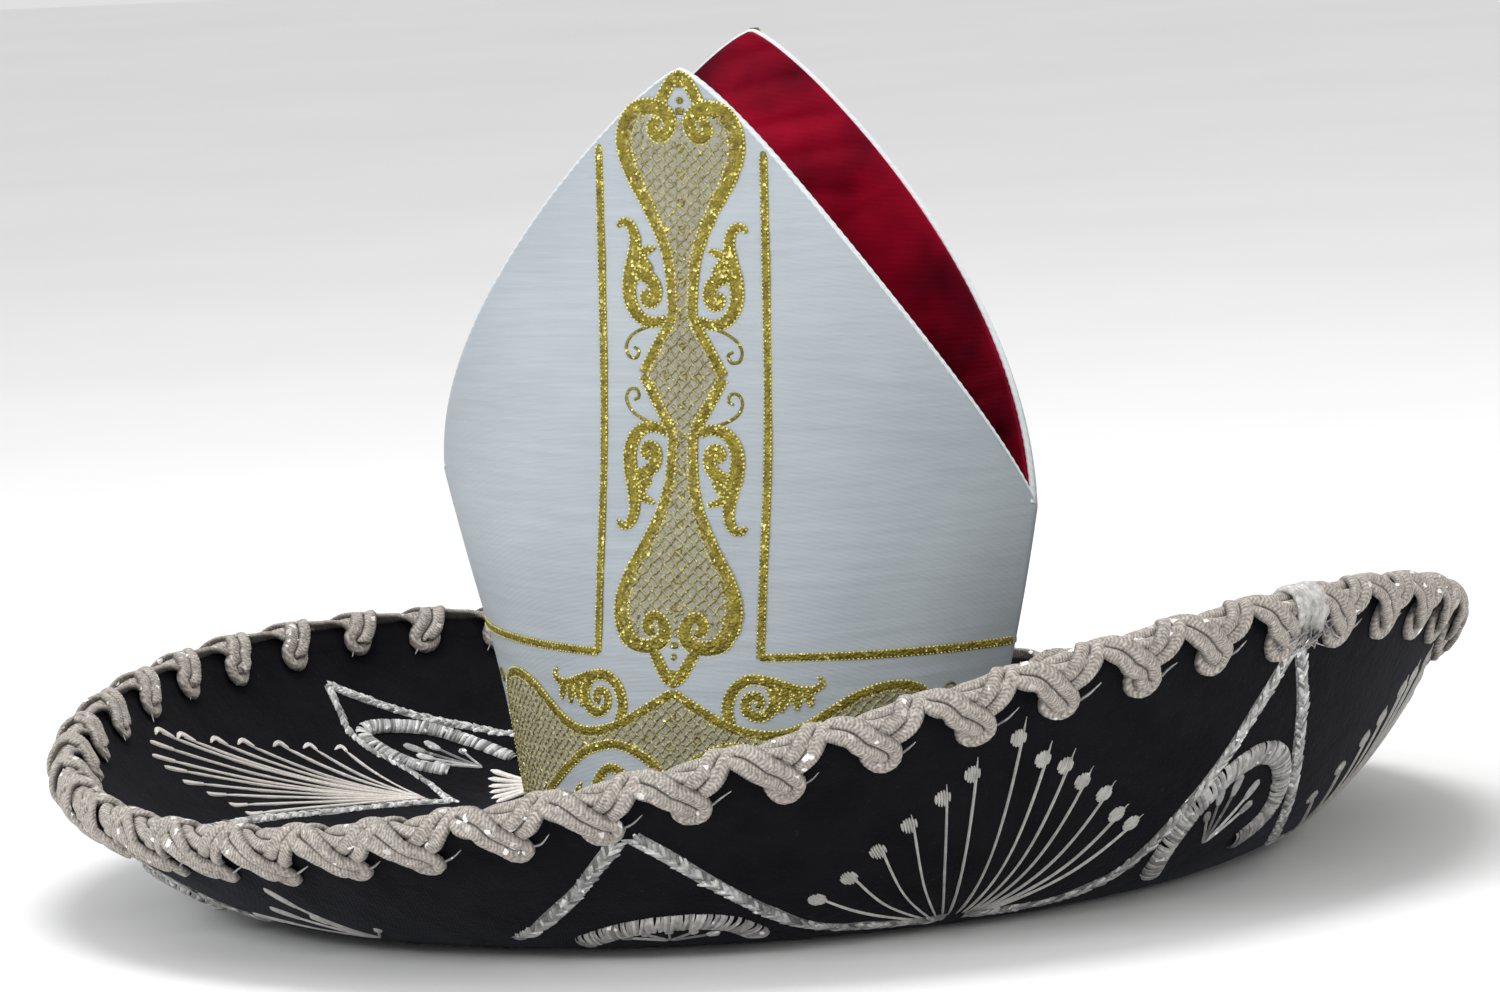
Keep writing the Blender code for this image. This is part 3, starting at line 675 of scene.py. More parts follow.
def top_cloth():
    build = Build()
    build.grid(brim_face(TOP_FACE, 0.0003), wrap=(True, False))
    build.piece("brim_top_velveteen", VELVETEEN, HAT, "black_velveteen", ("brim_top_cloth",))


def under_cloth():
    """The underside cloth, whose edge is turned up over the rim."""
    build = Build()
    point, ahead, normal = brim_frame(BRIM_ANGLES, np.ones((1, 1)))
    phi = radians(linspace(-90, 90, 9)[None, 1:-1, None])
    half = TOP_FACE / 2
    turned = point + ahead * half * cos(phi) + normal * (half + half * sin(phi))
    lip_parts = array([[1.0, 0.985, 0.965, 0.95]])
    lip = brim(BRIM_ANGLES, lip_parts, array([[0.0, 0.25, 0.3, 0.0]]) * MM + TOP_FACE)
    build.grid(concatenate([brim_face(0.0, -0.0002), turned, lip], 1), wrap=(True, False))
    build.piece("brim_under_velveteen", VELVETEEN, HAT, "black_velveteen", ("brim_under_cloth",))


def pressed_board():
    build = Build()
    low, high = [brim_face(offset) for offset in BOARD_FACES]
    build.grid(concatenate([low[:, :-1], high[:, -2::-1]], 1), wrap=(True, True))
    build.piece("pressed_board", BOARD, HAT, "brim_board", ("brim_board",))


def brim_cloth():
    top_cloth()
    under_cloth()
    pressed_board()


# ---------------------------------------------------------------- braid over the rim

LOOPS = 49
LOBE_ANGLE = 302.4
LOBE_REACH = 0.0197
BRAID_REFERENCE = TOP_FACE / 2 + 1.5 * MM


def rim_table():
    angles = linspace(0, 360, 1441)
    point, ahead, normal = brim_frame(angles, np.ones(1441))
    return angles, run_of(point + ahead * 0.004 + normal * TOP_FACE / 2)


RIM_ANGLES, RIM_LENGTHS = rim_table()
RIM_LENGTH = RIM_LENGTHS[-1]
PITCH = RIM_LENGTH / LOOPS
BRAID_START = interp(LOBE_ANGLE, RIM_ANGLES, RIM_LENGTHS) - LOBE_REACH


def rim_angle(s):
    turns, rest = np.divmod(s, RIM_LENGTH)
    return interp(rest, RIM_LENGTHS, RIM_ANGLES) + 360.0 * turns


def over_rim(rows):
    """Rows (along the rim, over the rim, lift): the second is 0 on the rim's crest, positive down the
    top face and negative down the underside."""
    s, w, lift = rows[:, 0], rows[:, 1], rows[:, 2]
    angle = rim_angle(s)
    half = TOP_FACE / 2
    radius = half + lift
    phi = clip(w / BRAID_REFERENCE, -pi / 2, pi / 2)
    inside = maximum(np.abs(w) - BRAID_REFERENCE * pi / 2, 0.0)
    point, ahead, normal = brim_frame(angle, 1.0 - inside / rim_run(angle))
    out = ahead * cos(phi)[:, None] + normal * sin(phi)[:, None]
    return point + normal * half + out * radius[:, None], out


# The strand over two pitches: (along in pitches, over in cm, lift in mm, half width in mm). It drops
# down the underside, turns back under itself, rises over the rim, and does the same on the top face.
STRAND = (
    (0.00, -0.04, 2.2, 5.8), (0.10, -0.18, 2.9, 6.5), (0.24, -0.38, 3.6, 6.6), (0.38, -0.68, 4, 6.6),
    (0.50, -1.06, 4, 6.5), (0.59, -1.42, 3, 6.5), (0.635, -1.74, 1.5, 6), (0.595, -1.94, 0.5, 5.8),
    (0.52, -1.84, 0.2, 5.8), (0.49, -1.50, 0.2, 6), (0.54, -1.14, 0.4, 6.4), (0.65, -0.80, 1.2, 6.2),
    (0.78, -0.46, 2.4, 6.2), (0.91, -0.06, 3.2, 6.2), (1.02, 0.34, 2.8, 6), (1.13, 0.80, 2.6, 6.4),
    (1.22, 1.14, 2.8, 6), (1.295, 1.40, 2, 5.7), (1.295, 1.58, 1, 5.5), (1.225, 1.54, 0.2, 5.5),
    (1.17, 1.26, 0.2, 5.7), (1.165, 0.94, 0.2, 5.8), (1.21, 0.58, 0.2, 5.8), (1.33, 0.22, 0.2, 5.8),
    (1.50, -0.02, 0.2, 5.8), (1.68, -0.06, 0.2, 5.8), (1.85, -0.04, 1, 5.8),
)
BRAID_STEP = 0.55 * MM
BRAID_THICKNESS = 2.9 * MM
THREAD_PITCH = 1.3 * MM


def strand_rows():
    """The control rows of the strand, which goes twice round the rim."""
    base = array(STRAND)
    rows = []
    for cycle in range(LOOPS):
        part = base.copy()
        drift = rng.normal(0, 1, (len(base), 2)) * (0.010, 0.04)
        part[:, 0] += drift[:, 0] + rng.normal(0, 0.035)
        part[:, 1] = part[:, 1] * (1 + rng.normal(0, 0.035)) + drift[:, 1] * (np.abs(part[:, 1]) > 0.8)
        part[:, 0] = (part[:, 0] + 2 * cycle) * PITCH + BRAID_START
        part[:, 1] *= 0.01
        part[:, 2:] *= MM
        rows.append(part)
    return np.vstack(rows)


HERRINGBONE = 1.2


def braid_section(at, half, turn):
    """Two rolls side by side with a herringbone of threads: the section, and each place's share of a
    thread. turn is the bend, which gathers the inner roll."""
    across = linspace(-1, 1, 15)
    in_roll = (np.abs(across) - 0.5) / 0.5
    roll = sqrt(clip(1 - in_roll**2, 0, 1))
    body = 0.42 + 0.58 * roll
    body[[0, -1]] = 0.12
    phase = at[:, None] / THREAD_PITCH + HERRINGBONE * np.abs(in_roll) + 0.5 * (across > 0)
    thread = 0.5 + 0.5 * cos(2 * pi * phase)
    up = BRAID_THICKNESS * body + 0.06 * MM * (thread - 0.5) * roll
    side = half[:, None] * across * (1 + 0.03 * (thread - 0.5))
    limit = 0.8 / maximum(np.abs(turn), 1.0)[:, None]
    inner = side * turn[:, None] > 0
    side = np.where(inner, limit * np.tanh(side / limit), side)
    under = [-1, 7, 0]
    low = stack([side[:, under] * 0.9, zeros((len(at), 3))], -1)
    section = concatenate([stack([side, up], -1), low], 1)
    return section, concatenate([phase, phase[:, under]], 1)


def rim_braid():
    build, tails = Build(), Build()
    control = strand_rows()
    control = np.vstack([control, control[:1] + [2 * RIM_LENGTH, 0, 0, 0]])
    points, normals, rows, at = lay(over_rim, control, BRAID_STEP)
    ahead, side, _ = frames(points, normals)
    turn = np.einsum("ij,ij->i", np.gradient(ahead, axis=0), side) / (at[1] - at[0])
    turn = np.convolve(np.pad(turn, 5, mode="edge"), np.ones(11) / 11, mode="valid")
    section, phase = braid_section(at, rows[:, 3], turn)
    sweep(build, points, normals, section, at, phase=phase)
    strand_tails(tails, control)
    build.piece("rim_braid_strands", BRAID, HAT, "silver_braid", ("rim_braid",))
    tails.piece("rim_braid_thread_tails", CORD, HAT, "silver_braid")


def taper(build, surface, control, radius, step=0.8 * MM, tip=0.25, sides=6):
    """A tapered thread lying on a surface; control rows end with a lift."""
    points, normals, rows, at = lay(surface, control, step)
    part = at / at[-1]
    size = radius * (1 - (1 - tip) * part**1.5)
    turn = ring_angles(sides)
    twist = 1 + 0.12 * cos(3 * turn + at[:, None] / (0.9 * MM))
    ring = stack([cos(turn) * twist, sin(turn) * twist], -1) * size[:, None, None]
    ring[[0, -1]] *= 0.05
    sweep(build, points, normals, ring, at)


# Thread tails, as (row of the strand, start, reach along the rim, drop over it), in metres.
TAILS = ((6, 0.0050, 0.0082, 0.0036), (18, 0.0, 0.0050, 0.0055))
TAIL_LIFTS = (0.0030, 0.0024, 0.0020)
TAIL_RADIUS = 0.62 * MM


def strand_tails(build, control):
    """The loose ends of the tacking threads that hold each loop."""
    for cycle in range(LOOPS):
        for index, start, reach, drop in TAILS:
            s, w = control[cycle * len(STRAND) + index, :2]
            s = s + start
            size = rng.uniform(0.7, 1.3)
            swing = rng.normal(0, 0.0012)
            line = (
                (s, w, TAIL_LIFTS[0]),
                (s + reach * 0.5 * size, w + drop * 0.45 * size + swing, TAIL_LIFTS[1]),
                (s + reach * size, w + drop * size, TAIL_LIFTS[2]),
            )
            taper(build, over_rim, line, TAIL_RADIUS * rng.uniform(0.8, 1.1))


KNOT_ANGLE = 342.0
KNOT_WRAPS, KNOT_FIBRES = 7, 110
KNOT_PITCH, KNOT_LIFT = 2.4 * MM, 5.2 * MM


def knot_wrap(build, s):
    """One turn of the whipping over the rim."""
    lean = rng.normal(0, 2.0) * MM
    low, high = -0.0125 - rng.random() * 0.004, 0.012 + rng.random() * 0.004
    control = [(s + lean * (w / 0.02), w, KNOT_LIFT) for w in linspace(low, high, 7)]
    points, normals, _, at = lay(over_rim, control, 0.7 * MM)
    turn = ring_angles(8)
    strand = 1 + 0.14 * cos(4 * turn + at[:, None] / (0.8 * MM))
    ends = clip(minimum(at, at[-1] - at) / (4 * MM), 0.1, 1) ** 0.5
    ring = stack([cos(turn) * strand * 2.1, sin(turn) * strand * 1.5], -1)
    sweep(build, points, normals, ring * MM * ends[:, None, None], at)


def knot_fibre(build, s):
    """One frayed fibre below the whipping."""
    low = -0.006 - rng.random() * 0.010
    heading = rng.normal(0, 0.006)
    reach = rng.uniform(0.004, 0.009)
    lift = rng.uniform(3.0, 7.0) * MM
    shares = ((0.0, 0.0, 1.0), (0.5, 0.5, 0.8), (1.4, 1.0, 0.5))
    control = [(s + heading * a, low - reach * b, lift * c) for a, b, c in shares]
    taper(build, over_rim, control, 0.45 * MM, 1.2 * MM, 0.3, 5)


def braid_knot():
    """Where the braid's ends meet: a whipping of thread over the rim, and frayed fibres below it."""
    build = Build()
    middle = interp(KNOT_ANGLE, RIM_ANGLES, RIM_LENGTHS)
    for i in range(KNOT_WRAPS):
        knot_wrap(build, middle + (i - 3) * KNOT_PITCH + rng.normal(0, 0.3 * MM))
    for _ in range(KNOT_FIBRES):
        knot_fibre(build, middle + rng.normal(0, 0.006))
    build.piece("rim_braid_knot", CORD, HAT, "silver_braid", ("braid_join",))


# ---------------------------------------------------------------- silver work on the brim

MOTIFS = 6
MOTIF_ANGLE = 60.0
VALLEY_HEIGHT = 0.0062
POINT_FROM_RIM = 0.0215
UNDER_POINT = 282.3
FAN_SPREAD = 0.25
TRIM_HALF = 5.0 * MM
TOP_TRIM_HALF = 3.5 * MM
CHEVRON_PITCH, WINDING_PITCH = 2.1 * MM, 1.25 * MM


def point_sweep(angle):
    return 1 - POINT_FROM_RIM / rim_run(angle)


def under_place(angle, part):
    low = (VALLEY_HEIGHT / rim_height(angle)) ** (1 / SWEEP_POWER)
    return angle, low + (point_sweep(angle) - low) * part


def chevron_trim(build, surface, control, half):
    """A flat trim of slanted foil stitches in two rows that meet along its middle."""
    points, normals, _, at = lay(surface, control, 0.6 * MM, smooth=False)
    across = linspace(-1, 1, 5)
    flat = stack([across * half * 0.8, 0.5 * MM * (1 - across**4) - 0.1 * MM], -1)
    sweep(build, points, normals, flat, at, tube=False, seed=0.2)
    pitch = CHEVRON_PITCH
    for hand in (-1, 1):
        places = arange(0.5 * pitch, at[-1] - pitch, pitch) + (0.5 * pitch if hand > 0 else 0)
        point, ahead, side, up = nearest(at, places, points, *frames(points, normals))
        k = len(point)
        slant = radians(rng.normal(32, 5, k))[:, None]
        forward = ahead * cos(slant) + side * hand * sin(slant)
        tilt = rng.normal(0, 0.22, k)[:, None]
        aside = unit(cross(up, forward) + up * tilt)
        long = rng.normal(1.38, 0.11, k)[:, None] * half
        start = point + side * hand * (-0.3 * MM) - forward * 0.8 * MM + up * 0.45 * MM
        high = rng.normal(0.9, 0.12, k)[:, None] * MM
        stamp(build, start, forward * long, aside * 1.15 * MM, up * high, 0.8, 0.55, (6, 4))


def wound_cord(build, surface, control, half, height):
    """A padded cord wound with thread: each turn crosses it at a slant."""
    points, normals, _, at = lay(surface, control, 0.5 * MM)
    pitch = WINDING_PITCH
    places = arange(pitch, at[-1] - pitch, pitch)
    frame_rows = nearest(at, places, points, *frames(points, normals))
    point, ahead, side, up = [rows[:, None, None] for rows in frame_rows]
    k = len(point)
    slant = rng.normal(0.34, 0.10, k)
    b = linspace(-1, 1, 4)
    phi = linspace(0, pi, 9)
    ends = clip(minimum(places, at[-1] - places) / (4 * MM), 0.25, 1) ** 0.5
    wide = half * ends * rng.normal(1, 0.03, k)
    across = -cos(phi) * wide[:, None]
    shift = across * slant[:, None]
    rise = sin(phi) ** 0.8 * height * ends[:, None]
    along = shift[:, None] + (b * 0.62 * pitch)[None, :, None]
    lift = rise[:, None] + (0.42 * MM * sqrt(1 - 0.9 * b**2))[None, :, None]
    grid = point + side * across[:, None, :, None] + ahead * along[..., None] + up * lift[..., None]
    uv = zeros(grid.shape[:3] + (2,))
    uv[..., 0] = rng.random(k)[:, None, None]
    build.grids(grid, uv)


def ray(build, surface, control, half, strands, height):
    """A stitched ray: strands lying side by side, tapered at both ends. Control rows may end with a
    share of the width."""
    points, normals, rows, at = lay(surface, control, 1.2 * MM)
    part = at / at[-1]
    ends = clip(minimum(part * 14, (1 - part) * 10), 0.12, 1) ** 0.6
    across = linspace(-1, 1, 4 * strands + 1)
    ridge = np.abs(sin(pi * strands * (across + 1) / 2))
    dome = clip(1 - across**2, 0, 1) ** 0.5
    up = height * (0.45 * dome + 0.55 * ridge * (0.6 + 0.4 * dome)) + 0.1 * MM
    up[[0, -1]] = -0.1 * MM
    wide = half * ends * (rows[:, 2] if rows.shape[1] > 2 else 1)
    wobble = 1 + 0.05 * sin(at / (2.1 * MM) + rng.uniform(0, 6))
    section = stack([wide[:, None] * across * wobble[:, None], ends[:, None] * up], -1)
    sweep(build, points, normals, section, at, tube=False, seed=rng.random())


def head(build, surface, place, size, heading):
    """An oval of satin stitches on a surface: size is (half length, half width)."""
    point, normal = surface(array([place]))
    beyond, _ = surface(array([[place[0] + heading[0], place[1] + heading[1]]]))
    ahead = unit(beyond - point)
    side = cross(normal, ahead)
    count = max(4, int(2 * size[1] / (0.95 * MM)))
    offsets = ((arange(count) + 0.5) / count * 2 - 1)[:, None]
    long = sqrt(clip(1 - offsets**2, 0.05, 1)) * size[0]
    rise = 0.7 * MM + 0.9 * MM * sqrt(clip(1 - offsets**2, 0, 1))
    start = point + side * (offsets * size[1]) - ahead * long
    aside = np.repeat(side, count, 0) * (0.62 * size[1] * 2 / count)
    stamp(build, start, ahead * (2 * long), aside, normal * rise, 0.6, 0.35, (7, 4))


def lerp(a, b, part):
    return tuple(x + (y - x) * part for x, y in zip(a, b))


def stemmed_leaves(build, surface, foot, tips):
    """Thin stems from one foot, each ending in a narrow leaf of satin stitch."""
    for tip in tips:
        ray(build, surface, [foot, lerp(foot, tip, 0.5), tip], 0.6 * MM, 1, 0.8 * MM)
        leaf = [(*lerp(foot, tip, part), width) for part, width in ((0.74, 0.4), (0.88, 1.0), (1.04, 0.8))]
        ray(build, surface, leaf, 2.0 * MM, 3, 1.0 * MM)


# Underside motif, as (degrees from its point or valley, share of the way up to the point).
UNDER_LEG = (
    (0.7, 1.02), (3, 0.88), (5, 0.74), (8, 0.54), (11, 0.34), (14, 0.17), (17.5, 0.06), (22, 0.015), (29, 0),
)
HOOKED_ARCH = (
    (-7.2, 0.08), (-7.9, 0.22), (-8, 0.36), (-7.1, 0.50), (-5.5, 0.60), (-3.2, 0.675), (-0.4, 0.71),
    (2.6, 0.68), (5, 0.57), (5.9, 0.44), (5, 0.335), (2.7, 0.25),
)
LOW_ARCH = (
    (-7.6, 0.02), (-6.6, 0.13), (-3.4, 0.26), (-0.5, 0.315), (2.4, 0.33), (5, 0.315), (7.4, 0.26),
    (9.2, 0.14), (9.8, 0.03),
)
UNDER_FAN = (
    (-14.3, 0.40), (-11.4, 0.54), (-8.8, 0.67), (-6.2, 0.77), (-3.6, 0.85), (-1.2, 0.915), (2.5, 0.975),
    (5, 0.90), (7.3, 0.84), (9.4, 0.775), (11.8, 0.69), (14, 0.60), (16, 0.52),
)
UNDER_SPRAY = ((-15.2, 0.37), (-9, 0.60), (-6, 0.90), (-4.6, 0.52), (1.8, 0.33))
ARCH_RAYS = ((-4.5, 0.49), (-3.9, 0.59), (-1.9, 0.63), (1.1, 0.585), (1.7, 0.49))
LOW_ARCH_RAYS = ((-3.4, 0.14), (-1.2, 0.19), (1.4, 0.21), (4, 0.19), (6, 0.13))

# Top motif, as (degrees from the first motif's zero, sweep).
SHORT_LEG = (
    (157.7, 0.86), (158, 0.78), (158.3, 0.69), (156.8, 0.60), (155.2, 0.51), (153.9, 0.36), (154.1, 0.18),
)
LONG_LEG = (
    (154.6, 0.185), (158.2, 0.243), (169, 0.33), (182, 0.448), (199.6, 0.585), (205.2, 0.655), (209.5, 0.714),
    (214.9, 0.809), (217.5, 0.86),
)
TOP_ARCH = (
    (141.4, 0.45), (144.8, 0.563), (148.7, 0.65), (153.2, 0.69), (156.2, 0.695), (156.9, 0.66), (155.6, 0.58),
    (153.4, 0.50), (149.9, 0.43),
)
TOP_ARCH_FOOT = (145.9, 0.425)
TOP_ARCH_RAYS = ((152.8, 0.60), (150.3, 0.60), (146.9, 0.545), (152.2, 0.545), (151, 0.49))
TOP_FAN_FOOT = (156.4, 0.275)
TOP_FAN = (
    (160.5, 0.634), (164.2, 0.669), (167.8, 0.704), (172.3, 0.747), (175.9, 0.783), (180.3, 0.835),
    (183.2, 0.875), (184.8, 0.845), (186.2, 0.81), (185.8, 0.762), (185, 0.694), (183.1, 0.617),
    (181.6, 0.54), (180.9, 0.475),
)
SIDE_FAN_FOOT = (140.6, 0.19)
SIDE_FAN = ((145.2, 0.40), (146.4, 0.34), (147.4, 0.27), (148.4, 0.20), (149.4, 0.12), (150, 0.04))
HOOKED_FOOT, LOW_FOOT = (-2.4, 0.30), (1.0, 0.03)
BARE_LEGS = ((0, -1), (MOTIFS - 1, 1))
BARE_LEG_ROWS = 6


def under_rays(fan, surface, foot, middle):
    """The rays of a large underside fan, each with a round head near its tip."""
    for d, part in UNDER_FAN:
        tip = under_place(middle + d + rng.normal(0, 0.12), part + rng.normal(0, 0.008))
        root = (foot[0] + FAN_SPREAD * (d + 1.0), foot[1])
        half_way = lerp(root, tip, 0.5)
        bow = (half_way[0] + 0.06 * d, half_way[1])
        ray(fan, surface, [root, bow, tip, lerp(root, tip, 1.065)], 0.60 * MM, 1, 0.9 * MM)
        heading = ((tip[0] - root[0]) * 0.01, (tip[1] - root[1]) * 0.01)
        head(fan, surface, (tip[0] - 0.35, tip[1]), (4.0 * MM, 3.3 * MM), heading)


def under_work():
    surface = brim_on(-1)
    trim, cords, fans = Build(), [], []
    for motif in range(MOTIFS):
        point = UNDER_POINT + motif * MOTIF_ANGLE
        valley = point + MOTIF_ANGLE / 2

        def placed(rows, middle=point, hand=1):
            return [under_place(middle + hand * d, part) for d, part in rows]

        for hand in (-1, 1):
            leg = UNDER_LEG[:BARE_LEG_ROWS] if (motif, hand) in BARE_LEGS else UNDER_LEG
            line = array(catmull(placed(leg[::-1], hand=hand), steps=8))
            chevron_trim(trim, surface, line, TRIM_HALF)
        arch, fan = Build(), Build()
        cord, arch_foot, tips = (
            (HOOKED_ARCH, HOOKED_FOOT, ARCH_RAYS) if motif > 0 else (LOW_ARCH, LOW_FOOT, LOW_ARCH_RAYS)
        )
        wound_cord(arch, surface, placed(cord), 5.3 * MM, 2.4 * MM)
        stemmed_leaves(arch, surface, placed([arch_foot])[0], placed(tips))
        foot = under_place(valley - 0.8, 0.04)
        if motif == MOTIFS - 1:
            stemmed_leaves(fan, surface, foot, placed(UNDER_SPRAY, valley))
        else:
            under_rays(fan, surface, foot, valley)
        cords.append(arch)
        fans.append(fan)
    trim.piece("under_zigzag_foil_trim", TRIM, HAT, "silver_braid", ("under_zigzag_trim",))
    name_motifs("under", cords, fans, CORD, RAY)


def name_motifs(face, cords, fans, cord, thread):
    for i, (arch, fan) in enumerate(zip(cords, fans), 1):
        arch.piece(f"{face}_arch_{i}_wound_cord", cord, HAT, "silver_braid", (f"{face}_arch_{i}",))
        fan.piece(f"{face}_fan_{i}_rays", thread, HAT, "cream_thread", (f"{face}_fan_{i}",))


LONG_RAYS = 7


def top_rays(fan, surface, foot, tips):
    """The rays of a large top fan, each with a hooked leaf at its tip."""
    for number, tip in enumerate(tips):
        near = (foot[0] + rng.normal(0, 0.12), foot[1] + rng.normal(0, 0.004))
        stem = [(*near, 0.7), (*lerp(near, tip, 0.5), 1.0), (*tip, 1.1)]
        ray(fan, surface, stem, 0.66 * MM, 2, 0.9 * MM)
        if number < LONG_RAYS:
            start, bend, drop = 0.4, (tip[0] + 0.1, tip[1] + 0.014, 1.0), (1.2, 0.006)
        else:
            start, bend, drop = 0.6, (*lerp(near, tip, 1.04), 0.9), (1.3, 0.030)
        leaf = [(*lerp(near, tip, 0.95), start), bend, (tip[0] + drop[0], tip[1] + drop[1], 0.4)]
        ray(fan, surface, leaf, 1.3 * MM, 2, 1.0 * MM)


def top_work():
    surface = brim_on(1)
    trim, cords, fans = Build(), [], []
    for motif in range(MOTIFS):

        def placed(rows, start=motif * MOTIF_ANGLE):
            return [(d + start, sweep) for d, sweep in rows]

        for leg in (SHORT_LEG, LONG_LEG):
            chevron_trim(trim, surface, array(catmull(placed(leg), steps=8)), TOP_TRIM_HALF)
        arch, fan = Build(), Build()
        wound_cord(arch, surface, placed(TOP_ARCH), 3.6 * MM, 2.0 * MM)
        stemmed_leaves(arch, surface, placed([TOP_ARCH_FOOT])[0], placed(TOP_ARCH_RAYS))
        top_rays(fan, surface, placed([TOP_FAN_FOOT])[0], placed(TOP_FAN))
        foot = placed([SIDE_FAN_FOOT])[0]
        for tip in placed(SIDE_FAN):
            stem = [(*foot, 0.5), (*lerp(foot, tip, 0.5), 0.8), (*tip, 1.2)]
            ray(fan, surface, stem, 1.6 * MM, 2, 1.1 * MM)
        cords.append(arch)
        fans.append(fan)
    # The top face's trim, cords and rays take the lighter copies of cord and thread: painted light.
    trim.piece("top_zigzag_foil_trim", CORD_PAINTED_LIGHT, HAT, "silver_braid", ("top_zigzag_trim",))
    name_motifs("top", cords, fans, CORD_PAINTED_LIGHT, RAY_PAINTED_LIGHT)


# ---------------------------------------------------------------- mitre cloth


def panel_rows(side, lows, highs):
    lower = linspace(CROWN_BASE, SEAM_TOP, lows, endpoint=False)
    part = linspace(0, 1, highs) ** 0.9
    return concatenate([lower, SEAM_TOP + (HORN_TOP[side] - SEAM_TOP) * part * 0.9985])


PANELS = (("front", -1), ("rear", 1))
# Rows below and above the seam's top, and columns, of a panel's layers.
COARSE, FINE = (30, 40, 60), (90, 110, 120)


def panel(name, side, faces, material, slot, node, folds, counts):
    """One layer of a mitre panel, closed along all its edges."""
    z = panel_rows(side, *counts[:2])[:, None]
    across = linspace(-1, 1, counts[2])
    sheets = []
    for inwards in faces:
        u = edge_of(z, side, inwards) * across
        depth = inwards + (folds(u, z) if folds else 0.0) * (1 - across**8)
        sheets.append(crown(u, z, side, depth))
    near, far = sheets
    build = Build()
    build.grid(concatenate([near, far[:, ::-1]], 1), wrap=(False, True), zip_ends=True)
    build.piece(name, material, HAT, slot, (node,))


def cover_folds(u, z):
    """Faint level puckers where the satin is held by its embroidery."""
    fine = ripples(u / 0.060, z / 0.0075, 11) * 0.00006
    broad = ripples(u / 0.085, z / 0.055, 12) * 0.00016
    return maximum(0.00025 + fine + broad, 0.0)


def lining_folds(u, z):
    """Soft slanting folds of the loose satin lining."""
    slant = ripples((u + 0.9 * z) / 0.085, (z - 0.5 * u) / 0.030, 21) * 0.0008
    return minimum(np.abs(slant), 0.0012) * clip((z - 0.045) / 0.02, 0, 1)


def rolled_edge(label, side):
    """The fine rolled and stitched edge of a horn, from seam to tip to seam."""
    build = Build()
    z = SEAM_TOP + (HORN_TOP[side] - SEAM_TOP) * linspace(0.004, 1, 120) ** 0.9
    half = horn_half_width(z, side)
    outline = concatenate([stack([half, z], 1), stack([-half, z], 1)[::-1][1:]])
    length = run_of(outline)
    at = arange(0, length[-1], 0.7 * MM)
    line = rows_at(at, length, outline)
    middle = crown(line[:, 0], line[:, 1], side, 0.0020)
    outward = np.broadcast_to(array([0.0, side, 0.0]), middle.shape)
    turn = ring_angles(10)
    roll = 1 + 0.10 * cos(at / (0.62 * MM))[:, None] * cos(turn)
    ring = stack([cos(turn) * 0.95 * MM * roll, sin(turn) * 2.1 * MM * roll], -1)
    sweep(build, middle, outward, ring, at)
    build.piece(f"{label}_rolled_edge", WHITE_EDGE, HAT, "white_satin", (f"{label}_edge_piping",))


GUSSET_REACH, GUSSET_RISE, GUSSET_SAG = 0.120, 0.055, 0.012
GUSSET_INSET, GUSSET_CLOTH = 0.0056, 0.0008


def gusset(label, hand):
    """A web between the horns, sagging in soft folds from a seam's top to the middle."""
    x = hand * linspace(0.0006, GUSSET_REACH, 46)[:, None]
    v = linspace(-1, 1, 40)
    inward = 1 - np.abs(x) / GUSSET_REACH
    z = SEAM_TOP + GUSSET_RISE * inward - GUSSET_SAG * inward * (1 - v * v)
    z = z + ripples(x / 0.030, v * 0.9, 31 + hand) * 0.0009 * (1 - v**4) * inward * 1.5
    radius = 1 / curvature(z) - GUSSET_INSET
    bend = radius * (1 - cos(np.arcsin(x / radius)))
    front, rear = [panel_depth(z, side) - GUSSET_INSET - bend for side in (-1, 1)]
    y = -front + (front + rear) * (v + 1) / 2
    top = stack(np.broadcast_arrays(CROWN_X + x, CROWN_Y - LEAN * z + y, z - SEAM_SKEW * x), -1)
    low = top - array([0, 0, GUSSET_CLOTH])
    build = Build()
    build.grid(concatenate([top, low[:, ::-1]], 1), wrap=(False, True), zip_ends=True)
    build.piece(f"gusset_{label}_satin", CRIMSON, HAT, "crimson_satin", (f"gusset_{label}",))


BAND_FACES = (0.0062, 0.0076)
BAND_HEIGHTS = (CROWN_BASE, 0.012, 0.020, 0.028, 0.036, 0.038)
BAND_STITCH_ROW = 4


def sweatband():
    """The band inside the foot of the mitre, with a stitched line along its top edge."""
    build = Build()
    z = array(BAND_HEIGHTS)
    rows, tops = [], []
    for side in (-1, 1):
        for across in side * linspace(1, -1, 90, endpoint=False):
            outer, inner = [
                crown(across * edge_reach(z, side, inwards), z, side, inwards) for inwards in BAND_FACES
            ]
            rows.append(concatenate([outer, inner[::-1]]))
            tops.append(inner[BAND_STITCH_ROW])
    build.grid(array(rows), wrap=(True, True))
    tops = array(tops)
    inward = unit(array([CROWN_X, CROWN_Y, BAND_HEIGHTS[BAND_STITCH_ROW]]) - tops)
    ahead, aside, up = frames(tops, inward, closed=True)
    stamp(build, tops - ahead * 1.2 * MM, ahead * 2.6 * MM, aside * 0.4 * MM, up * 0.5 * MM)
    build.piece("sweatband_cotton", COTTON, HAT, "cotton_band", ("sweatband",))


COVER_FACES, BUCKRAM_FACES, LINING_FACES = (0.0, 0.0009), (0.00145, 0.0030), (0.0034, 0.0043)


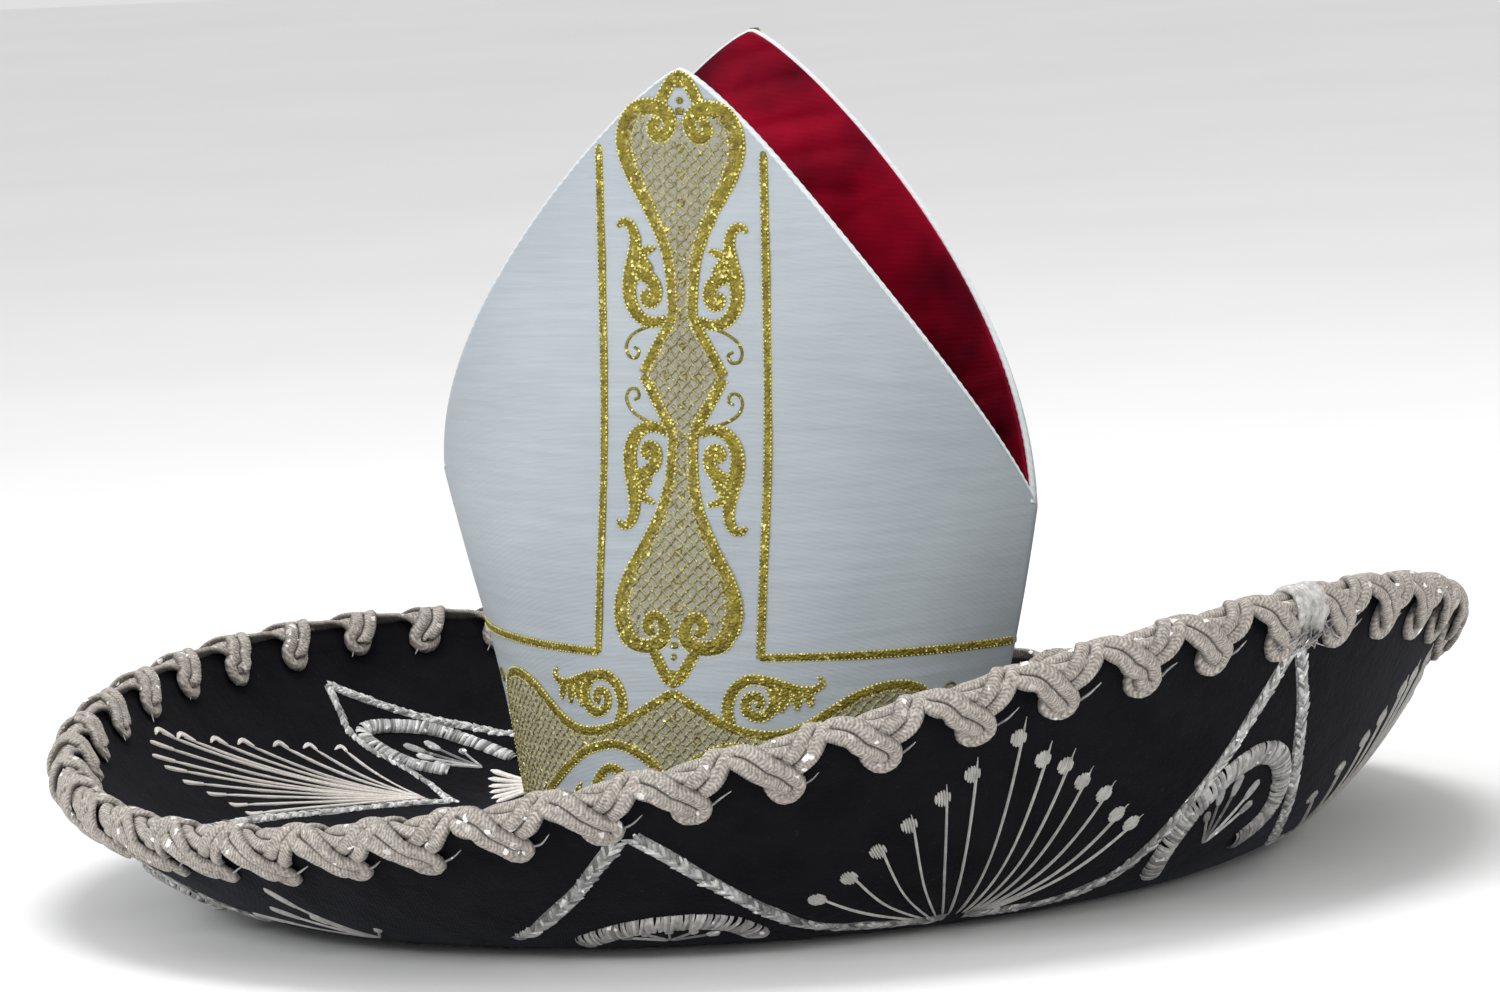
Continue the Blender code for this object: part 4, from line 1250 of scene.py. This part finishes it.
def mitre_cloth():
    for label, side in PANELS:
        for part, faces, material, slot, node, folds, counts in (
            ("cover_satin", COVER_FACES, WHITE, "white_satin", "cover", cover_folds, FINE),
            ("buckram", BUCKRAM_FACES, BUCKRAM, "buckram", "stiffener", None, COARSE),
            ("lining_satin", LINING_FACES, CRIMSON, "crimson_satin", "lining", lining_folds, FINE),
        ):
            panel(f"{label}_{part}", side, faces, material, slot, f"{label}_{node}", folds, counts)
        rolled_edge(label, side)
    gusset("left", -1)
    gusset("right", 1)
    sweatband()


# ---------------------------------------------------------------- gold work on the mitre


RELIEF = 0.65
BEAD = 0.54 * MM
GALLOON_BEAD = 0.40 * MM
SHORTEST_STRAND = 5


class GoldWork:
    """Padded bands, beads and net on one surface. Control rows are (across, along, half width) in the
    units of scale."""

    def __init__(self, surface, scale=(MM, MM, MM)):
        self.surface, self.scale = surface, scale
        self.band, self.bead, self.net = Build(), Build(), Build()

    def padded(self, control, mirror, height, edges=True, pitch=1.8 * MM, closed=False, bead=BEAD):
        """A padded band, with a row of beads along each edge."""
        rows = array(control, float) * self.scale * (mirror, 1, 1)
        points, normals, rows, at = lay(self.surface, rows, 0.75 * MM, closed)
        across = linspace(-1, 1, 9)
        dome = clip(1 - across**2, 0, 1) ** 0.45
        stitch = cos(2 * pi * (at[:, None] / (1.5 * MM) + 0.45 * across))
        up = height * RELIEF * dome + 0.10 * MM * stitch * dome - 0.12 * MM
        side = rows[:, 2:3] * across
        sweep(self.band, points, normals, stack([side, up], -1), at, closed, tube=False)
        if not edges:
            return
        _, aside, upward = frames(points, normals, closed)
        for hand in (-1, 1):
            line = points + aside * hand * (rows[:, 2:3] - 0.35 * MM) + upward * 0.30 * MM
            self.dots(line, normals, pitch, bead)

    def dots(self, line, normals, pitch, radius):
        length = run_of(line)
        if length[-1] < 2 * pitch:
            return
        at = arange(0.5 * pitch, length[-1], pitch)
        at = at + rng.normal(0, 0.08 * pitch, len(at))
        places = rows_at(at, length, line)
        around = unit(rows_at(at, length, normals))
        size = radius * rng.normal(1, 0.08, len(at))[:, None]
        ahead, side, up = frames(places, around)
        stamp(self.bead, places - ahead * size, ahead * 2 * size, side * size, up * size, sink=0.1)

    def rosette(self, u, z, radius):
        """A small padded ring with two beads in it."""
        ring = [(u + radius * cos(t), z + radius * sin(t), 0.55) for t in ring_angles(8)]
        self.padded(ring, 1, 0.8 * MM, False, closed=True)
        point, normal = self.surface(array([(u, z)]) * self.scale[:2])
        pair = point + normal * 0.3 * MM + array([[0, 0, -1], [0, 0, 1]]) * MM
        self.dots(pair, np.repeat(normal, 2, 0), 1.6 * MM, 0.8 * MM)

    def lattice(self, inside, low, high, spacing):
        """A net of knotted threads crossing at a slant, within an outline: inside(u, z) in mm."""
        reach = max(abs(low[0]), abs(high[0])) + high[1] - low[1]
        middle = (low[1] + high[1]) / 2
        t = arange(low[1], high[1], 0.45)
        wave = 0.42 * sin(2 * pi * t / (spacing * 1.37))
        for hand in (-1, 1):
            for offset in arange(-reach, reach, spacing * 1.3):
                u = offset + hand * (t - middle) * 0.95
                keep = inside(u, t) & (u > low[0]) & (u < high[0])
                edges = np.flatnonzero(np.diff(concatenate([[0], keep.astype(int), [0]])))
                for a, b in zip(edges[::2], edges[1::2]):
                    if b - a >= SHORTEST_STRAND:
                        self.strand(stack([u[a:b] + wave[a:b], t[a:b]], 1) * MM)

    def strand(self, rows, radius=0.58 * MM):
        points, normals, _, at = lay(self.surface, rows, 0.9 * MM, smooth=False)
        turn = linspace(0, pi, 5)
        knots = radius * (1 + 0.35 * cos(2 * pi * at / (2.6 * MM))[:, None])
        arc = stack([-cos(turn) * knots, sin(turn) * 1.25 * knots], -1)
        sweep(self.net, points, normals, arc, at, tube=False)


HEART = (
    (3.9, 0, 2.1), (4.2, 26, 2.3), (4.7, 36, 2.3), (5.8, 46, 2.5), (9, 56.5, 2.7), (15, 69, 3),
    (21.2, 80.3, 3.4), (24.7, 90.5, 3.7), (24.2, 99, 3.9), (20.2, 106.4, 3.8), (13.8, 109.6, 3.6),
    (7.6, 107.8, 3.4), (4.4, 102.8, 3.2), (6, 97.8, 3), (9.8, 96.4, 2.9), (12.4, 99.2, 2.7),
    (11.2, 102.2, 2.4), (9, 101.6, 1.8),
)
DIAMOND = ((4.2, 26, 2.3), (5.4, 21.5, 2.3), (8.8, 15.6, 2.4), (13.2, 8.2, 2.4), (17.7, 0.4, 2.3))
LEG = ((0.6, 128.6, 1.4), (2.8, 125.4, 2.4), (5.4, 120.2, 2.6), (7.8, 114.6, 2.5), (9.6, 111.2, 2.1))
LEAF = (
    (28.6, 59.2, 0.8), (26.6, 61.2, 1.5), (23.4, 60.4, 2.1), (21.4, 57, 2.3), (20.9, 52.6, 2.6),
    (21.6, 46.4, 3.2), (23.4, 39.4, 3.2), (23.9, 31.6, 3), (21.3, 25, 2.8), (16.8, 21.6, 2.5),
    (11.6, 21.2, 2.2), (7.6, 22.8, 1.8),
)
EYE = (
    (20, 41, 2.8), (16, 39.8, 3), (12.8, 36.6, 2.9), (11.8, 32.6, 2.8), (13.2, 29.4, 2.6), (16, 29.2, 2.3),
    (17, 31.8, 2), (15.2, 33.2, 1.7),
)
SHOULDER = ((20.6, 48, 2.6), (17.4, 45.2, 2.4), (14, 42, 1.5))
LEAFLET = ((19.4, 48.4, 2), (15.6, 50.2, 1.7), (11.8, 51.4, 0.6))
TENDRIL = (
    (10.4, 22, 0.7), (15, 19.4, 0.7), (19.4, 17.6, 0.7), (23.6, 14.8, 0.7), (25.8, 10.6, 0.7),
    (24.4, 6.8, 0.7), (21, 6.4, 0.7), (19.8, 9.2, 0.7), (22, 10.6, 0.6),
)
TIP_SQUASH = 0.26
REAR_TIP = ((0, 329, 1), (0, 334.5, 2), (0, 339, 2.6), (0, 341.9, 2))
# Distances from the diamond's centre in mm: where a heart's neck starts, its curls start, and it ends.
NECK_FROM, CURL_FROM, HEART_END = 26, 94.8, 107
# The scrolls of the orphrey, each with the height of its padding in mm; u and v are from its middle.
SCROLLS = (
    (HEART[1:], 1.15), (DIAMOND, 1.05), (LEG, 1.1), (LEAF, 1.1), (EYE, 0.95), (SHOULDER, 0.9), (LEAFLET, 0.9),
)
TIP_BUD = ((0, 130.2, 1), (0, 126.5, 2.2), (0, 121, 1.8))
HEART_CLASP = ((-1.6, 107.6, 1.4), (0, 107.9, 1.6), (1.6, 107.6, 1.4))
ROSETTES = (
    (111.5, 1.0), (12.0, 1.1), (24.0, 1.1), *((v, 1.5) for v in (38.0, 48.0, 59.0, 70.0, 81.0, 92.0)),
)
ORPHREY_GROUND, CIRCLET_GROUND = -0.15 * MM, -0.18 * MM


def heart_inside(u, v):
    """Whether a place is within a heart, its neck or the diamond; v is from the diamond's centre."""
    rows = array(HEART[:10])
    heart = interp(np.abs(v), rows[:, 1], rows[:, 0], right=0)
    neck = interp(np.abs(v), (0, NECK_FROM), (16.5, 3.0))
    rim = np.where(np.abs(v) < NECK_FROM, neck, heart)
    curl = (np.abs(np.abs(u) - 8.6) < 7.4) & (np.abs(v) > CURL_FROM)
    return (np.abs(u) < rim - 0.4) & ~curl & (np.abs(v) < HEART_END)


def orphrey_ground(side):
    """The cloth under the net of the hearts and the diamond."""
    v = linspace(-104, 104, 260)
    heart = array(HEART[1:10])
    neck = interp(np.abs(v), (0, NECK_FROM), (17.5, 4.0))
    rim = np.where(np.abs(v) < NECK_FROM, neck, interp(np.abs(v), heart[:, 1], heart[:, 0]))
    rim = rim * clip((HEART_END - np.abs(v)) / 4, 0, 1) ** 0.3
    u = rim[:, None] * linspace(-1, 1, 16) * MM
    ground = Build()
    ground.grid(crown(u, (ORPHREY_MIDDLE / MM + v)[:, None] * MM, side, ORPHREY_GROUND))
    return ground


def orphrey(side):
    work = GoldWork(crown_on(side))
    middle = ORPHREY_MIDDLE / MM
    for flip in (-1, 1):

        def placed(control):
            return [(u, middle + flip * (v - TIP_SQUASH * max(v - 105.0, 0.0)), w) for u, v, w in control]

        for mirror in (-1, 1):
            for control, height in SCROLLS:
                work.padded(placed(control), mirror, height * MM)
            work.padded(placed(TENDRIL), mirror, 0.6 * MM, False)
        work.padded(placed(TIP_BUD), 1, 1.0 * MM)
        work.padded(placed(HEART_CLASP), 1, 0.9 * MM, False)
        for v, radius in ROSETTES:
            work.rosette(0.0, middle + flip * v, radius)
    if side > 0:
        work.padded(REAR_TIP, 1, 1.2 * MM)
    for u, radius in ((0.0, 1.7), (-7.0, 1.3), (7.0, 1.3)):
        work.rosette(u, middle, radius)
    low, high = (-28, middle - HEART_END - 1), (28, middle + HEART_END + 1)
    work.lattice(lambda u, z: heart_inside(u, z - middle), low, high, 3.9)
    return work, orphrey_ground(side)


UPPER_WAVE = (
    (0, 81.4), (8, 76.8), (16, 72.3), (25, 67.8), (36, 64.8), (46, 64.6), (56, 67.6), (66, 73.2), (77, 79),
    (88, 82), (98, 81.8), (105.5, 78.4), (109, 71), (109.5, 58), (108.5, 42), (106, 26), (104, 10),
)
LOWER_WAVE = (
    (0.6, 43), (5, 50), (13, 56.2), (24, 60), (33, 59.4), (44, 55.6), (57, 47.2), (70, 37.4), (80, 26),
    (86, 10),
)
SIDE_LEAF = (
    (24.8, 69.6, 2.2), (23.4, 76, 2.4), (26, 83, 2.5), (32, 87, 2.4), (39.4, 86.3, 2.5), (46.4, 84, 2.6),
    (53.4, 82.2, 2.2), (59, 82.8, 1.7), (62.2, 85.4, 1.2), (60.2, 88, 0.7),
)
SIDE_EYE = (
    (40.6, 84.4, 2.4), (43.2, 79.4, 2.5), (41, 74.2, 2.4), (36, 72.2, 2.3), (31.4, 74.8, 2.2),
    (31.4, 79.4, 2.1), (35.2, 80.8, 2), (37.2, 77.8, 1.8), (35, 76.6, 1.5),
)
SIDE_LEAVES = (
    ((47.4, 83.4, 2), (46.8, 79, 2.4), (45.2, 74, 0.7)),
    ((51, 82.4, 1.9), (51.8, 78.4, 2.3), (51.6, 74.8, 0.7)),
    ((54.8, 82.2, 1.7), (56.8, 79, 1.9), (57.6, 76, 0.7)),
)
FOOT_SCROLL = (
    (36, 30, 1.9), (38, 38, 2.2), (35.5, 46, 2.3), (29.5, 50.5, 2.2), (23, 49, 2), (20.6, 43.6, 1.7),
    (23.6, 39.4, 1.4), (27.6, 41, 1.2), (27, 44.4, 0.9),
)
FOOT_LEAF = ((46, 32, 1.6), (48.4, 38, 2), (46, 44, 0.6))
CIRCLET_REACH = 108.0
CIRCLET_ROSETTES = (
    (118.0, 78.5, 2.6),
    *((u, z, 1.4) for u, z in ((11, 63), (62, 58), (77, 64), (92, 66), (84, 46), (98, 40))),
)


def circlet(side):
    """The band round the foot: two waves with net between them, and scrolls above and below."""
    work = GoldWork(crown_on(side))
    upper, lower = catmull(UPPER_WAVE[:13]), catmull(LOWER_WAVE)

    def wave_high(u):
        return interp(np.abs(u), upper[:, 0], upper[:, 1])

    def wave_low(u):
        return interp(np.abs(u), lower[:, 0], lower[:, 1], left=43.0, right=9.0)

    for mirror in (-1, 1):
        for wave, half in ((UPPER_WAVE, 2.3), (LOWER_WAVE, 2.1)):
            work.padded([(u, z, half) for u, z in wave], mirror, 1.2 * MM)
        for control in (SIDE_LEAF, SIDE_EYE, *SIDE_LEAVES, FOOT_SCROLL, FOOT_LEAF):
            work.padded(control, mirror, 1.0 * MM)
        for u, z, radius in CIRCLET_ROSETTES:
            work.rosette(mirror * u, z, radius)
    work.rosette(0.0, 72.0, 1.5)
    work.rosette(0.0, 60.0, 1.3)

    def between(u, z):
        return (z < wave_high(u) - 1.0) & (z > wave_low(u) + 1.0) & (np.abs(u) < CIRCLET_REACH - 0.5)

    work.lattice(between, (-CIRCLET_REACH, 10), (CIRCLET_REACH, 82), 3.5)
    u = linspace(-CIRCLET_REACH, CIRCLET_REACH, 190)[:, None]
    low, high = wave_low(u) - 0.5, wave_high(u) + 0.3
    ground = Build()
    z = low + (high - low) * linspace(0, 1, 24)
    ground.grid(crown(u * MM, z * MM, side, CIRCLET_GROUND))
    return work, ground


GALLOON_FOOT = 0.096
GALLOON_ACROSS, GALLOON_HALF = 36.5, 1.75


def galloon(side, hand, label, node):
    """A gold line down from the horn's edge that turns out to the seam above the circlet."""
    z = arange(SEAM_TOP, HORN_TOP[side], 0.0005)
    top = z[horn_half_width(z, side) > GALLOON_ACROSS * MM + 0.0036][-1] / MM
    reach = edge_of(array([GALLOON_FOOT]), side, 0.0)[0] / MM - 2.0
    foot = GALLOON_FOOT / MM
    down = [(GALLOON_ACROSS, v, GALLOON_HALF) for v in linspace(top, foot, 24)]
    out = [(u, foot, GALLOON_HALF) for u in linspace(GALLOON_ACROSS, reach, 14)]
    work = GoldWork(crown_on(side))
    for control in (down, out):
        work.padded(control, hand, 0.85 * MM, True, 1.7 * MM, bead=GALLOON_BEAD)
    work.rosette(hand * GALLOON_ACROSS, top + 0.6, 0.9)
    work.band.piece(f"{label}_galloon_band", GOLD, HAT, "gold_thread", (node,))
    work.bead.piece(f"{label}_galloon_beads", GOLD_BEAD, HAT, "gold_thread")


def gold_work():
    for label, side in PANELS:
        for kind, make in (("orphrey", orphrey), ("circlet", circlet)):
            work, ground = make(side)
            for build, part, material, nodes in (
                (ground, "net_ground", NET_GROUND, ()),
                (work.net, "net", GOLD_NET, ()),
                (work.bead, "beads", GOLD_BEAD, ()),
                (work.band, "bands", GOLD, (f"{label}_{kind}",)),
            ):
                build.piece(f"{label}_{kind}_{part}", material, HAT, "gold_thread", nodes)
        for way, hand in (("left", -1), ("right", 1)):
            galloon(side, hand, f"{label}_{way}", f"{label}_galloon_{way}")


# ---------------------------------------------------------------- lappets

LAPPET_X, LAPPET_Y, LAPPET_LENGTH, LAPPET_SPLAY = 0.045, 0.1045, 0.135, 0.12
LAPPET_WIDTHS = (0.046, 0.058)
LAPPET_LIFT = 0.0046
FRINGE_LENGTH = 0.026


def brim_at(x, y, offset):
    angle = np.degrees(np.arctan2(y, x))
    part = (np.hypot(x, y) - FLAT_RADIUS) / (rim_radius(angle) - FLAT_RADIUS)
    return brim(angle, part, offset)


def lappet_half_width(along):
    return (LAPPET_WIDTHS[0] + (LAPPET_WIDTHS[1] - LAPPET_WIDTHS[0]) * along / LAPPET_LENGTH) / 2


def lappet_on(hand, level):
    """A lappet's surface, addressed by (across from -1 to 1, distance along)."""

    def surface(rows):
        across, along = rows[:, 0], rows[:, 1]
        x = hand * (LAPPET_X + LAPPET_SPLAY * along) + lappet_half_width(along) * across
        y = LAPPET_Y + along
        soft = ripples(across * 0.8 + hand, along / 0.040, 41) * 0.00035
        height = TOP_FACE + LAPPET_LIFT + level + soft
        point = brim_at(x, y, height)
        return point, unit(brim_at(x, y, height + MM) - point)

    return surface


def lappet_sheet(hand, low, high):
    across, along = np.meshgrid(linspace(-1, 1, 40), linspace(0, LAPPET_LENGTH, 90))
    rows = stack([across.ravel(), along.ravel()], 1)
    faces = [lappet_on(hand, level)(rows)[0].reshape(across.shape + (3,)) for level in (low, high)]
    build = Build()
    build.grid(concatenate([faces[1], faces[0][:, ::-1]], 1), wrap=(False, True), zip_ends=True)
    return build


LAPPET_EDGE = 0.84
LAPPET_CLOTH, LAPPET_LINING = (0.0010, 0.0022), (0.0, 0.0007)
# A lappet's scroll, as (across, distance back from the free end in mm, half width in mm).
LAPPET_SCROLL = ((0.04, 10, 1.6), (0.34, 14, 2), (0.50, 22, 2.2), (0.34, 31, 2.1), (0.04, 37, 1.7))
LAPPET_CURL = ((0.40, 15, 1.2), (0.22, 17, 1.2), (0.14, 22, 1.1), (0.24, 25, 0.9))


def lappet_gold(hand):
    """Gold bands along the edges and across, and a scroll between them."""
    work = GoldWork(lappet_on(hand, LAPPET_CLOTH[1]), (1, MM, MM))
    end = LAPPET_LENGTH / MM
    for edge in (-LAPPET_EDGE, LAPPET_EDGE):
        work.padded([(edge, v, 1.2) for v in linspace(3, end - 3, 24)], 1, 0.8 * MM, True, 2.2 * MM)
    for v in (end - 5.0, end - 46.0):
        across = [(u, v, 1.3) for u in linspace(-LAPPET_EDGE, LAPPET_EDGE, 12)]
        work.padded(across, 1, 0.8 * MM, True, 2.2 * MM)
    for mirror in (-1, 1):
        for rows, height, edges in ((LAPPET_SCROLL, 0.9, True), (LAPPET_CURL, 0.8, False)):
            work.padded([(u, end - back, w) for u, back, w in rows], mirror, height * MM, edges)
    return work


def lappet_fringe(hand):
    """A wound heading along the free end and the strands that hang from it."""
    fringe = Build()
    surface = lappet_on(hand, 0.0012)
    heading = [(u, LAPPET_LENGTH + 0.8 * MM, 0) for u in linspace(-1, 1, 9)]
    taper(fringe, surface, heading, 1.3 * MM, 0.8 * MM, 1.0, 8)
    for u in linspace(-0.98, 0.98, 46):
        drift = rng.normal(0, 0.02)
        reach = FRINGE_LENGTH * rng.uniform(0.90, 1.0)
        steps = ((0.0, 0.2 * MM), (1.0, FRINGE_LENGTH * 0.5), (1.5, reach))
        control = [(u + share * drift, LAPPET_LENGTH + along, 0) for share, along in steps]
        taper(fringe, surface, control, 0.72 * MM, 0.9 * MM, 0.7, 6)
    return fringe


def lappet(label, hand):
    body = f"lappet_{label}"
    cloth, lining = [lappet_sheet(hand, *faces) for faces in (LAPPET_CLOTH, LAPPET_LINING)]
    work = lappet_gold(hand)
    fringe = lappet_fringe(hand)
    cloth = cloth.piece(f"{body}_satin", WHITE, None, "white_satin", (f"{body}_cloth",))
    lining = lining.piece(f"{body}_crimson_lining", CRIMSON, None, "crimson_satin", (f"{body}_lining",))
    trim = [
        work.band.piece(f"{body}_gold_bands", GOLD, None, "gold_thread"),
        work.bead.piece(f"{body}_gold_beads", GOLD_BEAD, None, "gold_thread"),
        fringe.piece(f"{body}_fringe_strands", GOLD, None, "gold_thread", (f"{body}_fringe",)),
    ]
    for piece in (cloth, lining, *trim):
        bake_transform(piece)


def lappets():
    lappet("left", -1)
    lappet("right", 1)


def keep_rim_wire():
    """The wire stays as the CAD solid, with the look of drawn steel."""
    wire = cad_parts["rim_wire"].data
    wire.materials.clear()
    wire.materials.append(steel())


put_camera()
put_stage()
brim_cloth()
rim_braid()
braid_knot()
under_work()
top_work()
mitre_cloth()
gold_work()
lappets()
keep_rim_wire()
